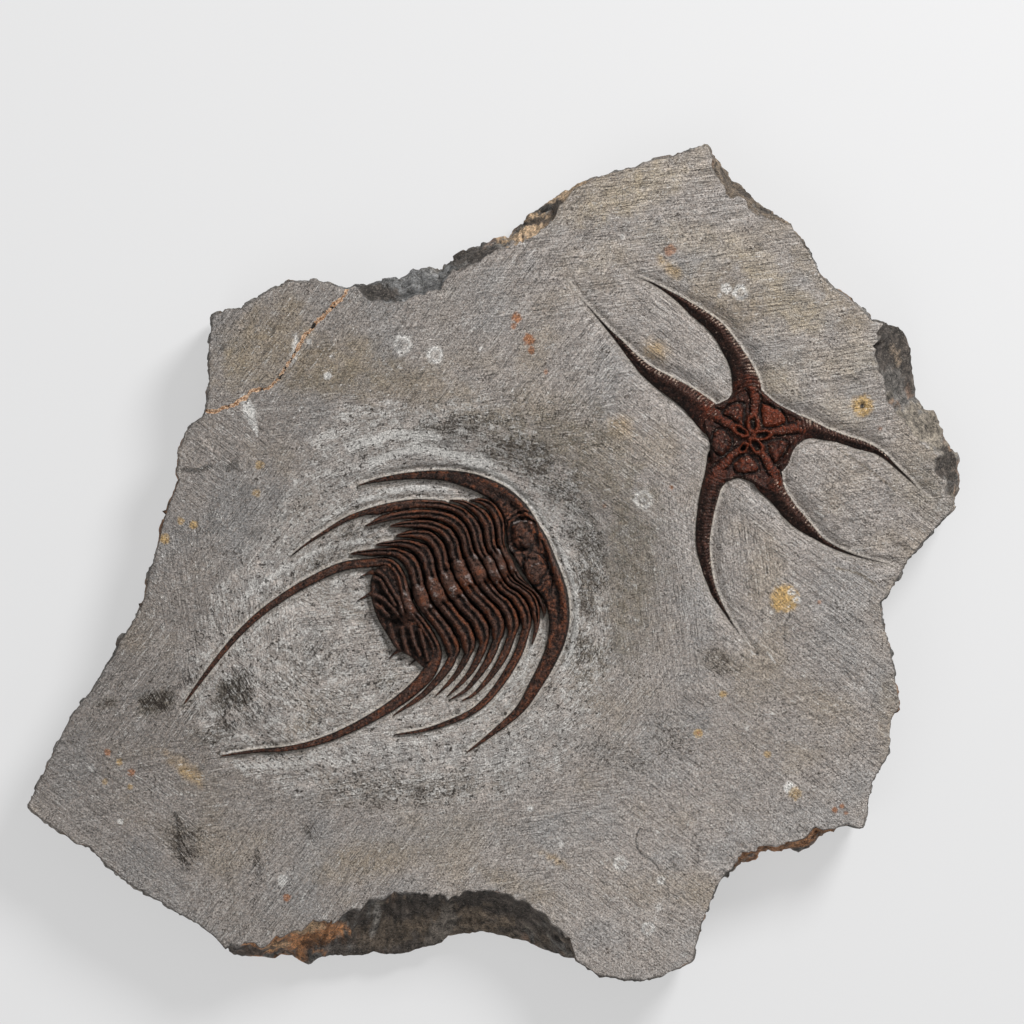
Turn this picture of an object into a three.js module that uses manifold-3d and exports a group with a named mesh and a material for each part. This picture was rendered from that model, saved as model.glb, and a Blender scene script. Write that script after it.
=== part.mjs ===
// A slab of grey mudstone with two fossils on its face: a spiny trilobite in a
// hand-dug hollow, and a brittle star beside it. The slab lies on its flat back.
// Millimetres, +Z up. The origin is under the middle of the slab, on its back.
// +X runs along the slab's length, towards the star, and +Y across it.

import * as THREE from 'three';
import { mergeVertices } from 'three/addons/utils/BufferGeometryUtils.js';
import Module from 'manifold-3d';

const wasm = await Module();
wasm.setup();

// ---------------------------------------------------------------- dimensions

const FACE_HEIGHT = 28; // mean thickness of the slab
const FACE_SWELL = 0.7; // how far the face rises and dips on its own
const WAIST_HEIGHT = 13; // where the broken edge stands out furthest
const FOOT_HEIGHT = 3;
const FOOT_INSET = 1.2; // how far the edge draws in at the foot
const BACK_INSET = 3.6; // and at the back face
const EDGE_INSET = 1.1; // and at the face, where nothing has chipped off
const WALL_TOP = 36; // the wall is lofted to here, then cut by the relief
const RELIEF_CELL = 15.5; // spacing of the relief's grid

const FIT_GAP = 0.3; // air between a fossil piece and its bed
const BURIAL = 2.4; // how deep a fossil sits in the rock
const OPEN_ABOVE = 14; // beds are cut this far up, to open at the face

const HOLLOW_CENTRE = [-22, -18]; // the hollow dug round the trilobite
const HOLLOW_RADII = [84, 66];
const HOLLOW_DEPTH = 6.5;
const HOLLOW_FLAT = 0.42; // share of the radius that is the hollow's floor

const BODY_CENTRE = [-10, -8]; // the trilobite's body, without its spines
const BODY_RADII = [38, 32];
const AXIS = [[5.7, -2.6], [-33.4, -16.4]]; // its raised axial lobe
const AXIS_HALF_WIDTH = 5;
const SPINE_RISE = 2;
const BODY_RISE = 2.2;
const AXIS_RISE = 2.6;
const SPINE_TIP_WIDTH = 0.9;

const STAR_CENTRE = [92.5, 46.4];
const STAR_DISC_RADIUS = 12.6;
const STAR_DISC_RISE = 3;
const STAR_ARM_WIDTH = 9.6; // at the disc
const STAR_ARM_RISE = 2.9;
const GROOVE_DEPTH = 2.2; // the groove that each arm lies in
const GROOVE_BANK = 5; // width of each of its sloping banks

// ---------------------------------------------------------------- the outline

// The slab's edge at its waist, seen from above, counter-clockwise from the notch
// on the top edge where the mended crack begins.
const OUTLINE = [
  [-54, 100], [-61.5, 102.5], [-75.5, 103], [-93, 93], [-98, 93], [-99.5, 91.5],
  [-103, 90.5], [-104.5, 77], [-104.5, 61.5], [-105.5, 56], [-106.5, 54], [-112.5, 48],
  [-115, 43], [-116, 42], [-115.5, 36], [-116.5, 34.5], [-115.5, 30],
  [-117.5, 25.5], [-121.5, 14], [-123.5, 4.5], [-126, -4], [-128, -13],
  [-129.5, -17], [-132.5, -22.5], [-136.5, -28], [-138, -32], [-147.5, -47], [-155, -56.5],
  [-170.5, -89], [-166, -93], [-152.5, -102.5], [-148.5, -103.5], [-141, -111],
  [-133, -117.5], [-127, -121], [-119, -126], [-110, -131],
  [-104, -135], [-96, -143.5], [-89.5, -144.5], [-75, -144.5], [-71.5, -147], [-69, -148],
  [-67, -147], [-61.5, -144], [-47.5, -144], [-44.5, -143], [-32.5, -143.5], [-29, -142.5],
  [-20.5, -140], [-16.5, -137], [-5, -135.5], [6, -137.5], [14.5, -140], [20.5, -143],
  [29.5, -145.5], [35, -148.5], [38, -151], [42, -151], [46, -152], [54.5, -152.5],
  [62, -150.5], [70.5, -146.5], [72.5, -145], [74, -137], [75.5, -132],
  [81, -118.5], [83, -115.5], [90, -109.5], [95.5, -109], [97, -105.5], [101, -105.5],
  [104, -106], [108.5, -105], [112, -105], [115.5, -103.5], [120.5, -99],
  [129, -95.5], [133.5, -97], [135, -96], [138, -80.5], [143.5, -70], [144.5, -66],
  [145, -56], [147.5, -53.5], [148, -51.5], [146, -38.5], [142, -22.5], [141, -14.5],
  [144, -11.5], [151.5, 2], [167.5, 20], [167.5, 23], [170, 27.5], [170.5, 30.5], [170, 40.5],
  [167.5, 41.5], [165, 45.5], [162, 53], [160, 55], [157, 56], [154, 60.5], [153, 74.5],
  [152.5, 79], [151, 83], [148.5, 85.5], [145, 87], [138, 88.5], [131, 95.5],
  [123, 101], [119.5, 104.5], [115.5, 112.5], [108, 123.5],
  [102, 128.5], [98.5, 131], [90.5, 137], [84, 144], [78, 152], [75, 152.5], [65, 148.5],
  [58.5, 147.5], [51.5, 144.5], [35.5, 140.5], [28.5, 137.5], [18, 131.5], [12.5, 127.5],
  [11, 124.5], [5.5, 119], [0.5, 118.5], [-14, 112.5], [-18.5, 108], [-31, 107],
  [-34.5, 105], [-49.5, 102],
];

// Where the face has chipped back from the edge: the brink of each scar, on the face.
const CHIP_BRINKS = {
  bottomLeft: [
    [-98, -140.9], [-87, -138.9], [-84, -140.9], [-76.5, -136], [-69.5, -134], [-65, -131],
    [-56.9, -130.5],
  ],
  bottom: [
    [-56.9, -130.5], [-54.4, -127.4], [-48.4, -126.3], [-42.3, -122.6], [-34.9, -120.1],
    [-19.5, -120.5], [-12.6, -121.4], [-9.5, -119.4], [-1.6, -119.4], [6.4, -121.2],
    [12.2, -123.6], [19, -128.3], [23.9, -132.9], [28.3, -137.2], [29.2, -144.4],
  ],
  bottomRight: [
    [86.7, -110.4], [90, -106.9], [93.3, -104.4], [98.4, -103.3], [103.5, -103.3],
    [111.9, -100.4], [117.2, -96], [121, -96.9], [129, -94.5],
  ],
  lowerRight: [[165.5, 24], [163, 31.4], [160.4, 37.6], [161.1, 40.1]],
  right: [
    [161.1, 40.1], [154.6, 45.6], [145.8, 55.5], [142.2, 66.8], [138.2, 75.4], [137.8, 79.2],
    [138.9, 83.6], [137.4, 88.2],
  ],
  tip: [
    [102.7, 125.2], [97.5, 125.9], [92.2, 129.8], [89.2, 133.6], [84.5, 134.3], [81.6, 139.8],
    [78.8, 144.5], [78.5, 148.4],
  ],
  topLeft: [
    [28.7, 136], [23.5, 130.7], [20.6, 124.5], [12.6, 117.9], [7.3, 115.2], [1.1, 114.6],
    [-3.5, 112.1], [-10.4, 107.7], [-18.4, 103.3], [-24.6, 98.9], [-29.7, 96.7],
    [-35.2, 94.9], [-39.6, 94.5], [-45.8, 95.3], [-52.7, 99.3],
  ],
};

// The crack that the corner broke off along, from the left edge to the notch.
const CRACK = [
  [-125, 62], [-105.3, 55.5], [-99.3, 56.4], [-94.7, 57.7], [-91.1, 60.4], [-88.7, 62.6],
  [-83.8, 63.5], [-80.1, 65.9], [-75.7, 71.9], [-72.1, 77.4], [-69.5, 82.7], [-63.1, 89.2],
  [-56.6, 95.8], [-53.8, 100], [-54.5, 118],
];
const CORNER_FAR_POINT = [-130, 118];

// ---------------------------------------------------------------- the trilobite

// The head shield as a strip: [outer x, y, inner x, y], from one cheek spine's tip
// round the front to the other's.
const CEPHALON = [
  [-49.5, 28.7, -49.1, 28.1], [-41.4, 31.4, -41.1, 29.4], [-30.5, 33.4, -30.1, 30.3],
  [-19.2, 33.9, -19.9, 29.9], [-9.3, 32.9, -12.2, 28.1], [-0.9, 30.3, -5.3, 25.2],
  [6, 26.5, 0.5, 22.3], [11.5, 21.4, 4.6, 16.8], [15.5, 15.3, 5.6, 11.7],
  [19.3, 9.1, 6.2, 6.6], [22.6, 1.3, 8.6, 1.1], [25.4, -6, 12.4, -4.6],
  [27.2, -12.8, 20.3, -10.6], [27.4, -21.2, 21.1, -19.3], [25.4, -29.6, 19.2, -28.1],
  [21.5, -37.8, 16.6, -35.4], [17, -46.4, 13, -43.1], [10.4, -54.8, 7.5, -52.2],
  [-0.2, -63, -1.6, -61.3], [-10, -69.3, -10.4, -69],
];

// Each thoracic segment's width and centre line, from its upper spine's tip over the
// axis to its lower spine's, with the length that each of the two spines tapers over.
const SEGMENTS = [
  {
    width: 2.2,
    tapers: [9, 5],
    line: [
      [-8.9, 23], [-5.3, 22.6], [-2, 21.2], [0.7, 17.9], [2, 13.1], [2.3, 8.4],
      [3.6, 4.7], [5.6, 1.1], [8.5, -3.8], [11.8, -6.6], [15.4, -9.2], [17.8, -12.6],
      [18.5, -16.4], [18.3, -19.3],
    ],
  },
  {
    width: 2.7,
    tapers: [12, 14],
    line: [
      [-16.2, 23.2], [-10.4, 22.1], [-5.7, 19], [-2.9, 15], [-1.9, 10.2], [-1.3, 5.8],
      [0.6, 1.6], [2.9, -3], [5.8, -7.4], [9.3, -10.3], [12.3, -13.5], [14.2, -17.3],
      [14.6, -21.5], [14.2, -25.9], [13.4, -29.9],
    ],
  },
  {
    width: 3.2,
    tapers: [66, 50],
    line: [
      [-73.9, 2.9], [-61.9, 11.3], [-54.6, 15.7], [-46.9, 18.6], [-38.1, 20.8],
      [-29, 21.9], [-19.9, 21.2], [-14.4, 19.2], [-9.7, 16], [-7.1, 11.8], [-6, 7.5],
      [-4.8, 3.2], [-2.2, -1], [0.3, -5.6], [3.3, -10], [7, -13.6], [9.6, -17.6],
      [10.6, -21.7], [10.1, -25.9], [8.2, -32.5], [4.9, -39.8], [0.9, -45.6],
      [-3.5, -50.7], [-8.9, -54.8], [-16.2, -58], [-25.4, -61], [-36.7, -62.8],
    ],
  },
  {
    width: 3.3,
    tapers: [32, 24],
    line: [
      [-47.3, 13.5], [-38.1, 16.4], [-27.2, 17.5], [-20.4, 16.4], [-14.8, 13.8],
      [-11.5, 10], [-10.2, 6.2], [-8.8, 2], [-6.8, -2.2], [-4.1, -6.9], [-0.6, -11.5],
      [2.7, -14.9], [5, -18.8], [5.8, -23], [5.2, -27], [3, -33.6], [0, -39.1],
      [-3.8, -44], [-7.8, -47.8], [-11.9, -50.4],
    ],
  },
  {
    width: 3.3,
    tapers: [18, 24],
    line: [
      [-38.1, 13.3], [-30.8, 13.7], [-24, 13.1], [-19.2, 10.9], [-16.2, 7.4],
      [-15, 3.2], [-13.7, -1.1], [-11.5, -5.8], [-8.5, -10.6], [-5, -14.6], [-2, -17.9],
      [0, -21.6], [0.4, -25.2], [-0.4, -29.9], [-2.8, -35.8], [-6.2, -41],
      [-10.4, -45.9], [-14.8, -49.4],
    ],
  },
  {
    width: 3.3,
    tapers: [14, 22],
    line: [
      [-36, 9.6], [-29, 10.1], [-24.6, 9], [-21.9, 6.2], [-20, 2.4], [-19.3, -1.9],
      [-17.9, -6.1], [-15.2, -10.9], [-11.7, -15.9], [-8.2, -20.1], [-5.6, -24.4],
      [-4.8, -28.1], [-5.6, -32.3], [-8.2, -37.9], [-11.3, -42.2], [-14.4, -45.2],
    ],
  },
  {
    width: 3.3,
    tapers: [16, 22],
    line: [
      [-43.3, 6.5], [-36.3, 6.9], [-31.4, 6], [-27.7, 3.6], [-25.2, 0.2], [-24.1, -3.7],
      [-22.7, -8], [-20, -13.1], [-16.6, -18.1], [-13.6, -22.2], [-10.8, -26.8],
      [-10.1, -30.7], [-11, -34.5], [-13.7, -39.4], [-17.2, -43.8], [-21.4, -48.2],
    ],
  },
  {
    width: 3.3,
    tapers: [24, 30],
    line: [
      [-52.7, 2.9], [-41.8, 3.7], [-36.6, 3], [-33.2, 1], [-30.6, -2.1], [-29, -6.1],
      [-28.1, -10.4], [-26, -14.9], [-23, -19.2], [-19.9, -23.3], [-17.1, -27.9],
      [-15.8, -31.8], [-16.4, -35.6], [-18.8, -39.6], [-21.9, -43.2], [-26.1, -47.5],
      [-30.3, -50.7], [-34.5, -53.6], [-37, -55.4],
    ],
  },
];

// The tail shield: the rib that carries the two longest spines, and the fan behind it.
const TAIL_RIB = {
  width: 3.8,
  tapers: [92, 96],
  line: [
    [-112.6, -50.9], [-105.8, -41.1], [-99.5, -32.5], [-92.2, -24.3], [-83.8, -16.8],
    [-73.4, -9.5], [-63, -3.8], [-52.4, -1], [-45.4, -0.9], [-40.2, -1.1], [-37.3, -3.1],
    [-35.2, -6.5], [-34, -10.6], [-32.4, -15.1], [-29.8, -19.3], [-26.6, -23.7],
    [-23.8, -28.3], [-22.2, -32.5], [-22.9, -36.9], [-25.2, -41.1], [-29.5, -45.9],
    [-34.7, -50.5], [-40, -54.6], [-46.2, -57.9], [-52.7, -60.5], [-60.8, -63.9],
    [-71, -66.6], [-81.9, -68.3], [-92.9, -69.5], [-99.5, -70.4],
  ],
};
const TAIL_FAN = [
  [-27.2, -36.9, -23, -31.8], [-33.8, -32.5, -25.8, -27.4], [-38.1, -28.1, -29, -22.3],
  [-41.8, -21.9, -31.8, -18.2], [-44.3, -15.3, -33.8, -15], [-45.4, -9.9, -34.9, -10.6],
  [-44.7, -3.6, -36, -5.5],
];

// The bed that the segments share under the body, from the head's side to the tail's.
const BODY_BED = [
  [14.2, -20, -2.6, 15.4], [5.6, -24, -12, 10], [-4, -29, -20, 4], [-15.5, -32.5, -29.5, -3],
  [-23.5, -31.5, -35, -8],
];
const BODY_BED_EXTRA = 0.9; // it goes this much deeper than the spines' beds

// ---------------------------------------------------------------- the brittle star

const STAR_ARMS = [
  [
    [92.9, 59.9], [91.1, 65.3], [88.1, 72.3], [84.5, 79.2], [79.8, 85.4], [72.8, 91.2],
    [65.9, 96.9], [60.2, 100.2], [52.7, 104], [47.3, 107.3],
  ],
  [
    [81.2, 54], [72.8, 60.2], [64.8, 65.3], [57.5, 70.4], [49.8, 76.5], [42.5, 83.4],
    [35.6, 90.9], [30.5, 97.8], [26.8, 104],
  ],
  [
    [106.8, 48.8], [114, 48.8], [125.7, 46], [135.6, 42.7], [143.4, 37.6], [151.3, 31.8],
    [155.7, 25.9],
  ],
  [
    [100.7, 34.6], [106.4, 24], [113.1, 14.6], [119.9, 8.4], [127.9, 4], [137.6, 1.5],
    [146.4, -0.9],
  ],
  [
    [83.4, 35.8], [79.6, 31], [76.5, 21.2], [76.1, 10.2], [77, 0.7], [79.9, -9.1],
    [84.9, -19], [90.7, -26.6], [92.5, -29.7],
  ],
];

// ---------------------------------------------------------------- solids

function geometryOf(points, triangles) {
  const geometry = new THREE.BufferGeometry();
  geometry.setAttribute('position', new THREE.Float32BufferAttribute(points.flat(), 3));
  geometry.setIndex(triangles.flat());
  return geometry;
}

function solidOf(geometry) {
  const bare = geometry.clone();
  bare.deleteAttribute('normal');
  bare.deleteAttribute('uv');
  const merged = mergeVertices(bare, 1e-4);
  return new wasm.Manifold(new wasm.Mesh({
    numProp: 3,
    vertProperties: new Float32Array(merged.attributes.position.array),
    triVerts: new Uint32Array(merged.index.array),
  }));
}

function geometryFromSolid(solid) {
  const mesh = solid.getMesh();
  const geometry = new THREE.BufferGeometry();
  geometry.setAttribute('position', new THREE.BufferAttribute(mesh.vertProperties, 3));
  geometry.setIndex(new THREE.BufferAttribute(mesh.triVerts, 1));
  geometry.computeVertexNormals();
  return geometry;
}

// A closed solid through rings of points, each ring counter-clockwise seen from the
// end that the rings advance to, with a cap fanned from each end's own centre.
function loftOf(rings) {
  const count = rings[0].length;
  const points = rings.flat();
  const triangles = [];
  for (let ring = 0; ring + 1 < rings.length; ring += 1) {
    for (let i = 0; i < count; i += 1) {
      const a = ring * count + i;
      const b = ring * count + ((i + 1) % count);
      triangles.push([a, b, b + count], [a, b + count, a + count]);
    }
  }
  const last = (rings.length - 1) * count;
  const firstCentre = points.length;
  points.push(centreOf(rings[0]), centreOf(rings[rings.length - 1]));
  for (let i = 0; i < count; i += 1) {
    const next = (i + 1) % count;
    triangles.push([firstCentre, next, i], [firstCentre + 1, last + i, last + next]);
  }
  return geometryOf(points, triangles);
}

function centreOf(ring) {
  const sum = [0, 0, 0];
  for (const point of ring) {
    sum[0] += point[0] / ring.length;
    sum[1] += point[1] / ring.length;
    sum[2] += point[2] / ring.length;
  }
  return sum;
}

// ---------------------------------------------------------------- relief

function ellipseDistance(x, y, centre, radii) {
  return Math.hypot((x - centre[0]) / radii[0], (y - centre[1]) / radii[1]);
}

function hollowDepth(x, y) {
  const distance = ellipseDistance(x, y, HOLLOW_CENTRE, HOLLOW_RADII);
  return HOLLOW_DEPTH * (1 - THREE.MathUtils.smoothstep(distance, HOLLOW_FLAT, 1));
}

function faceHeight(x, y) {
  const swell = Math.sin(x / 41 + 0.6) * Math.cos(y / 37 - 0.4);
  return FACE_HEIGHT + FACE_SWELL * swell - hollowDepth(x, y);
}

function distanceToAxis(x, y) {
  const [start, end] = AXIS;
  const along = [end[0] - start[0], end[1] - start[1]];
  const lengthSquared = along[0] ** 2 + along[1] ** 2;
  const share = ((x - start[0]) * along[0] + (y - start[1]) * along[1]) / lengthSquared;
  const clamped = THREE.MathUtils.clamp(share, 0, 1);
  return Math.hypot(x - start[0] - clamped * along[0], y - start[1] - clamped * along[1]);
}

function trilobiteRise(x, y) {
  const body = 1 - THREE.MathUtils.smoothstep(
    ellipseDistance(x, y, BODY_CENTRE, BODY_RADII), 0.6, 1.1);
  const axis = Math.exp(-((distanceToAxis(x, y) / AXIS_HALF_WIDTH) ** 2));
  return SPINE_RISE + BODY_RISE * body + AXIS_RISE * axis;
}

function starArmRise() {
  return STAR_ARM_RISE - GROOVE_DEPTH;
}

// ---------------------------------------------------------------- strips

// A strip's sections are pairs of points, its two edges. The pairs of a band of even
// width come from its centre line.
function bandPairs(line, widthAt) {
  const lengths = [0];
  for (let i = 1; i < line.length; i += 1) {
    const step = Math.hypot(line[i][0] - line[i - 1][0], line[i][1] - line[i - 1][1]);
    lengths.push(lengths[i - 1] + step);
  }
  const total = lengths[lengths.length - 1];
  return line.map((point, i) => {
    const before = line[Math.max(0, i - 1)];
    const after = line[Math.min(line.length - 1, i + 1)];
    const along = new THREE.Vector2(after[0] - before[0], after[1] - before[1]).normalize();
    const half = widthAt(lengths[i], total - lengths[i]) / 2;
    return [
      point[0] - along.y * half, point[1] + along.x * half,
      point[0] + along.y * half, point[1] - along.x * half,
    ];
  });
}

function taperedWidth(fullWidth, tapers) {
  return (fromStart, fromEnd) => {
    const share = Math.min(1, fromStart / tapers[0], fromEnd / tapers[1]);
    return SPINE_TIP_WIDTH + (fullWidth - SPINE_TIP_WIDTH) * share ** 0.7;
  };
}

// The same strip grown by a margin on both edges and past both ends.
function grownPairs(pairs, margin) {
  const grown = pairs.map(([ax, ay, bx, by]) => {
    const across = new THREE.Vector2(bx - ax, by - ay).normalize().multiplyScalar(margin);
    return [ax - across.x, ay - across.y, bx + across.x, by + across.y];
  });
  const pushOut = (end, inner) => {
    const middle = (pair) => [(pair[0] + pair[2]) / 2, (pair[1] + pair[3]) / 2];
    const [ex, ey] = middle(grown[end]);
    const [ix, iy] = middle(grown[inner]);
    const out = new THREE.Vector2(ex - ix, ey - iy).normalize().multiplyScalar(margin);
    grown[end] = grown[end].map((value, i) => value + (i % 2 ? out.y : out.x));
  };
  pushOut(0, 1);
  pushOut(grown.length - 1, grown.length - 2);
  return grown;
}

// The fossil piece itself: a low rounded ridge, its foot sunk in the rock.
function stripSolid(pairs, riseAt) {
  const shares = [0, 0, 0.3, 0.7, 1, 1];
  const rises = [null, 0.45, 1, 1, 0.45, null];
  const rings = pairs.map(([ax, ay, bx, by]) => shares.map((share, i) => {
    const x = ax + (bx - ax) * share;
    const y = ay + (by - ay) * share;
    const lift = rises[i] === null ? -BURIAL : riseAt(x, y) * rises[i];
    return [x, y, faceHeight(x, y) + lift];
  }));
  return solidOf(loftOf(rings));
}

// A straight-sided cut of the strip's outline, from a depth below the face up.
function stripCut(pairs, margin, depth) {
  const rings = grownPairs(pairs, margin).map(([ax, ay, bx, by]) => [
    [ax, ay, faceHeight(ax, ay) - depth],
    [ax, ay, faceHeight(ax, ay) + OPEN_ABOVE],
    [bx, by, faceHeight(bx, by) + OPEN_ABOVE],
    [bx, by, faceHeight(bx, by) - depth],
  ]);
  return solidOf(loftOf(rings));
}

// The groove dug along a star's arm: a flat floor and two sloping banks.
function grooveCut(pairs) {
  const floors = grownPairs(pairs, 1);
  const brinks = grownPairs(pairs, 1 + GROOVE_BANK);
  const rings = floors.map(([ax, ay, bx, by], i) => {
    const [cx, cy, dx, dy] = brinks[i];
    const at = (x, y, lift) => [x, y, faceHeight(x, y) + lift];
    return [
      at(ax, ay, -GROOVE_DEPTH), at(cx, cy, 0.4), at(cx, cy, OPEN_ABOVE),
      at(dx, dy, OPEN_ABOVE), at(dx, dy, 0.4), at(bx, by, -GROOVE_DEPTH),
    ];
  });
  return solidOf(loftOf(rings));
}

// ---------------------------------------------------------------- the slab

function polarOf([x, y]) {
  return { angle: Math.atan2(y, x), radius: Math.hypot(x, y) };
}

// How far a chain of points lies from the origin in one direction, or null where the
// chain doesn't reach that direction.
function radiusOfChain(chain, angle) {
  for (let i = 0; i + 1 < chain.length; i += 1) {
    const a = polarOf(chain[i]);
    const b = polarOf(chain[i + 1]);
    const span = Math.atan2(Math.sin(b.angle - a.angle), Math.cos(b.angle - a.angle));
    const offset = Math.atan2(Math.sin(angle - a.angle), Math.cos(angle - a.angle));
    if (span > 0 && offset >= 0 && offset <= span) {
      const [x1, y1] = chain[i];
      const [x2, y2] = chain[i + 1];
      const ray = [Math.cos(angle), Math.sin(angle)];
      const cross = (x2 - x1) * ray[1] - (y2 - y1) * ray[0];
      return (y1 * (x2 - x1) - x1 * (y2 - y1)) / cross;
    }
  }
  return null;
}

function wallSolid() {
  const closedOutline = [...OUTLINE, OUTLINE[0]];
  const chips = Object.values(CHIP_BRINKS);
  const corners = [...OUTLINE, ...chips.flat()].map((point) => polarOf(point).angle);
  const angles = [...new Set(corners.map((angle) => Number(angle.toFixed(3))))];
  angles.sort((a, b) => a - b);

  const ringAt = (height, insetAt) => angles.map((angle) => {
    const waist = radiusOfChain(closedOutline, angle);
    const radius = waist - insetAt(angle, waist);
    return [radius * Math.cos(angle), radius * Math.sin(angle), height];
  });
  const faceInset = (angle, waist) => {
    const brinks = chips.map((chip) => radiusOfChain(chip, angle)).filter((r) => r !== null);
    return Math.max(EDGE_INSET, waist - Math.min(waist, ...brinks));
  };
  const lean = (WALL_TOP - WAIST_HEIGHT) / (FACE_HEIGHT - WAIST_HEIGHT);
  return solidOf(loftOf([
    ringAt(0, () => BACK_INSET),
    ringAt(FOOT_HEIGHT, () => FOOT_INSET),
    ringAt(WAIST_HEIGHT, () => 0),
    ringAt(WALL_TOP, (angle, waist) => lean * faceInset(angle, waist)),
  ]));
}

function reliefSolid() {
  const width = 360;
  const depth = 330;
  const block = new THREE.BoxGeometry(
    width, depth, 2, Math.round(width / RELIEF_CELL), Math.round(depth / RELIEF_CELL), 1);
  const position = block.attributes.position;
  for (let i = 0; i < position.count; i += 1) {
    const isTop = position.getZ(i) > 0;
    position.setZ(i, isTop ? faceHeight(position.getX(i), position.getY(i)) : -4);
  }
  return solidOf(block);
}

// All that lies on the corner's side of the crack, moved off it by half the gap.
function cornerSide(offset) {
  const line = CRACK.map((point, i) => {
    const before = CRACK[Math.max(0, i - 1)];
    const after = CRACK[Math.min(CRACK.length - 1, i + 1)];
    const along = new THREE.Vector2(after[0] - before[0], after[1] - before[1]).normalize();
    return new THREE.Vector2(point[0] - along.y * offset, point[1] + along.x * offset);
  });
  const shape = new THREE.Shape([...line, new THREE.Vector2(...CORNER_FAR_POINT)]);
  const prism = new THREE.ExtrudeGeometry(shape, { depth: 60, bevelEnabled: false });
  prism.translate(0, 0, -10);
  return solidOf(prism);
}

// ---------------------------------------------------------------- materials

function stone(colour, roughness) {
  return new THREE.MeshStandardMaterial({ color: colour, roughness, metalness: 0 });
}

const MUDSTONE = { colour: 0x969089, roughness: 0.92 };
const SHELL = { colour: 0x3e261f, roughness: 0.5 };
const STAR = { colour: 0x2f201b, roughness: 0.6 };

const plate = new THREE.Group();

function addPiece(name, geometry, finish) {
  const mesh = new THREE.Mesh(geometry, stone(finish.colour, finish.roughness));
  mesh.name = name;
  plate.add(mesh);
  return mesh;
}

// ---------------------------------------------------------------- the pieces

const beds = []; // what the rock is cut by

function addStrip(name, pairs, riseAt, finish) {
  addPiece(name, geometryFromSolid(stripSolid(pairs, riseAt)), finish);
  beds.push(stripCut(pairs, FIT_GAP, BURIAL + FIT_GAP));
}

addStrip('cephalon', CEPHALON, trilobiteRise, SHELL);

SEGMENTS.forEach((segment, i) => {
  const pairs = bandPairs(segment.line, taperedWidth(segment.width, segment.tapers));
  addStrip(`thoracic_segment_${i + 1}`, pairs, trilobiteRise, SHELL);
});

const ribPairs = bandPairs(TAIL_RIB.line, taperedWidth(TAIL_RIB.width, TAIL_RIB.tapers));
const tail = stripSolid(ribPairs, trilobiteRise).add(stripSolid(TAIL_FAN, trilobiteRise));
addPiece('pygidium', geometryFromSolid(tail), SHELL);
beds.push(stripCut(ribPairs, FIT_GAP, BURIAL + FIT_GAP));
beds.push(stripCut(TAIL_FAN, FIT_GAP, BURIAL + FIT_GAP));
beds.push(stripCut(BODY_BED, 0, BURIAL + FIT_GAP + BODY_BED_EXTRA));

// The star's disc: a raised rim round a sunken middle.
const discFloor = faceHeight(...STAR_CENTRE) - GROOVE_DEPTH;
const discProfile = [
  [0, -BURIAL], [STAR_DISC_RADIUS, -BURIAL], [STAR_DISC_RADIUS, 0.5 * STAR_DISC_RISE],
  [0.88 * STAR_DISC_RADIUS, STAR_DISC_RISE], [0.6 * STAR_DISC_RADIUS, 0.6 * STAR_DISC_RISE],
  [0.25 * STAR_DISC_RADIUS, 0.7 * STAR_DISC_RISE], [0, 0.4 * STAR_DISC_RISE],
].map(([radius, height]) => new THREE.Vector2(radius, height));
const disc = new THREE.LatheGeometry(discProfile, 30);
disc.rotateX(Math.PI / 2);
addPiece('star_disc', geometryFromSolid(solidOf(disc)), STAR)
  .position.set(STAR_CENTRE[0], STAR_CENTRE[1], discFloor);
const discBed = new THREE.CylinderGeometry(
  STAR_DISC_RADIUS + FIT_GAP, STAR_DISC_RADIUS + FIT_GAP, OPEN_ABOVE + BURIAL + FIT_GAP, 30);
discBed.rotateX(Math.PI / 2);
discBed.translate(
  STAR_CENTRE[0], STAR_CENTRE[1], discFloor + (OPEN_ABOVE - BURIAL - FIT_GAP) / 2);
beds.push(solidOf(discBed));

STAR_ARMS.forEach((line, i) => {
  const widthAt = (fromStart, fromEnd) => {
    const share = fromEnd / (fromStart + fromEnd);
    return SPINE_TIP_WIDTH + (STAR_ARM_WIDTH - SPINE_TIP_WIDTH) * share ** 0.9;
  };
  const pairs = bandPairs(line, widthAt);
  addPiece(`star_arm_${i + 1}`, geometryFromSolid(stripSolid(pairs, starArmRise)), STAR);
  beds.push(grooveCut(pairs));
  beds.push(stripCut(pairs, FIT_GAP, BURIAL + FIT_GAP));
});

const block = wallSolid().intersect(reliefSolid());
const bed = beds.reduce((whole, next) => whole.add(next));
const rock = block.subtract(bed);
addPiece('matrix_slab', geometryFromSolid(rock.subtract(cornerSide(-FIT_GAP / 2))), MUDSTONE);
addPiece(
  'corner_fragment', geometryFromSolid(rock.intersect(cornerSide(FIT_GAP / 2))), MUDSTONE);

export default plate;
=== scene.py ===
"""A plate of grey mudstone with a spiny trilobite in a dug hollow and a brittle star beside it.

Lengths in this file are millimetres until a mesh is made. +Z points out of the fossil face.
"""

import math

import bpy
import numpy as np
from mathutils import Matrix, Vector
from mathutils.bvhtree import BVHTree
from mathutils.geometry import delaunay_2d_cdt


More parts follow.
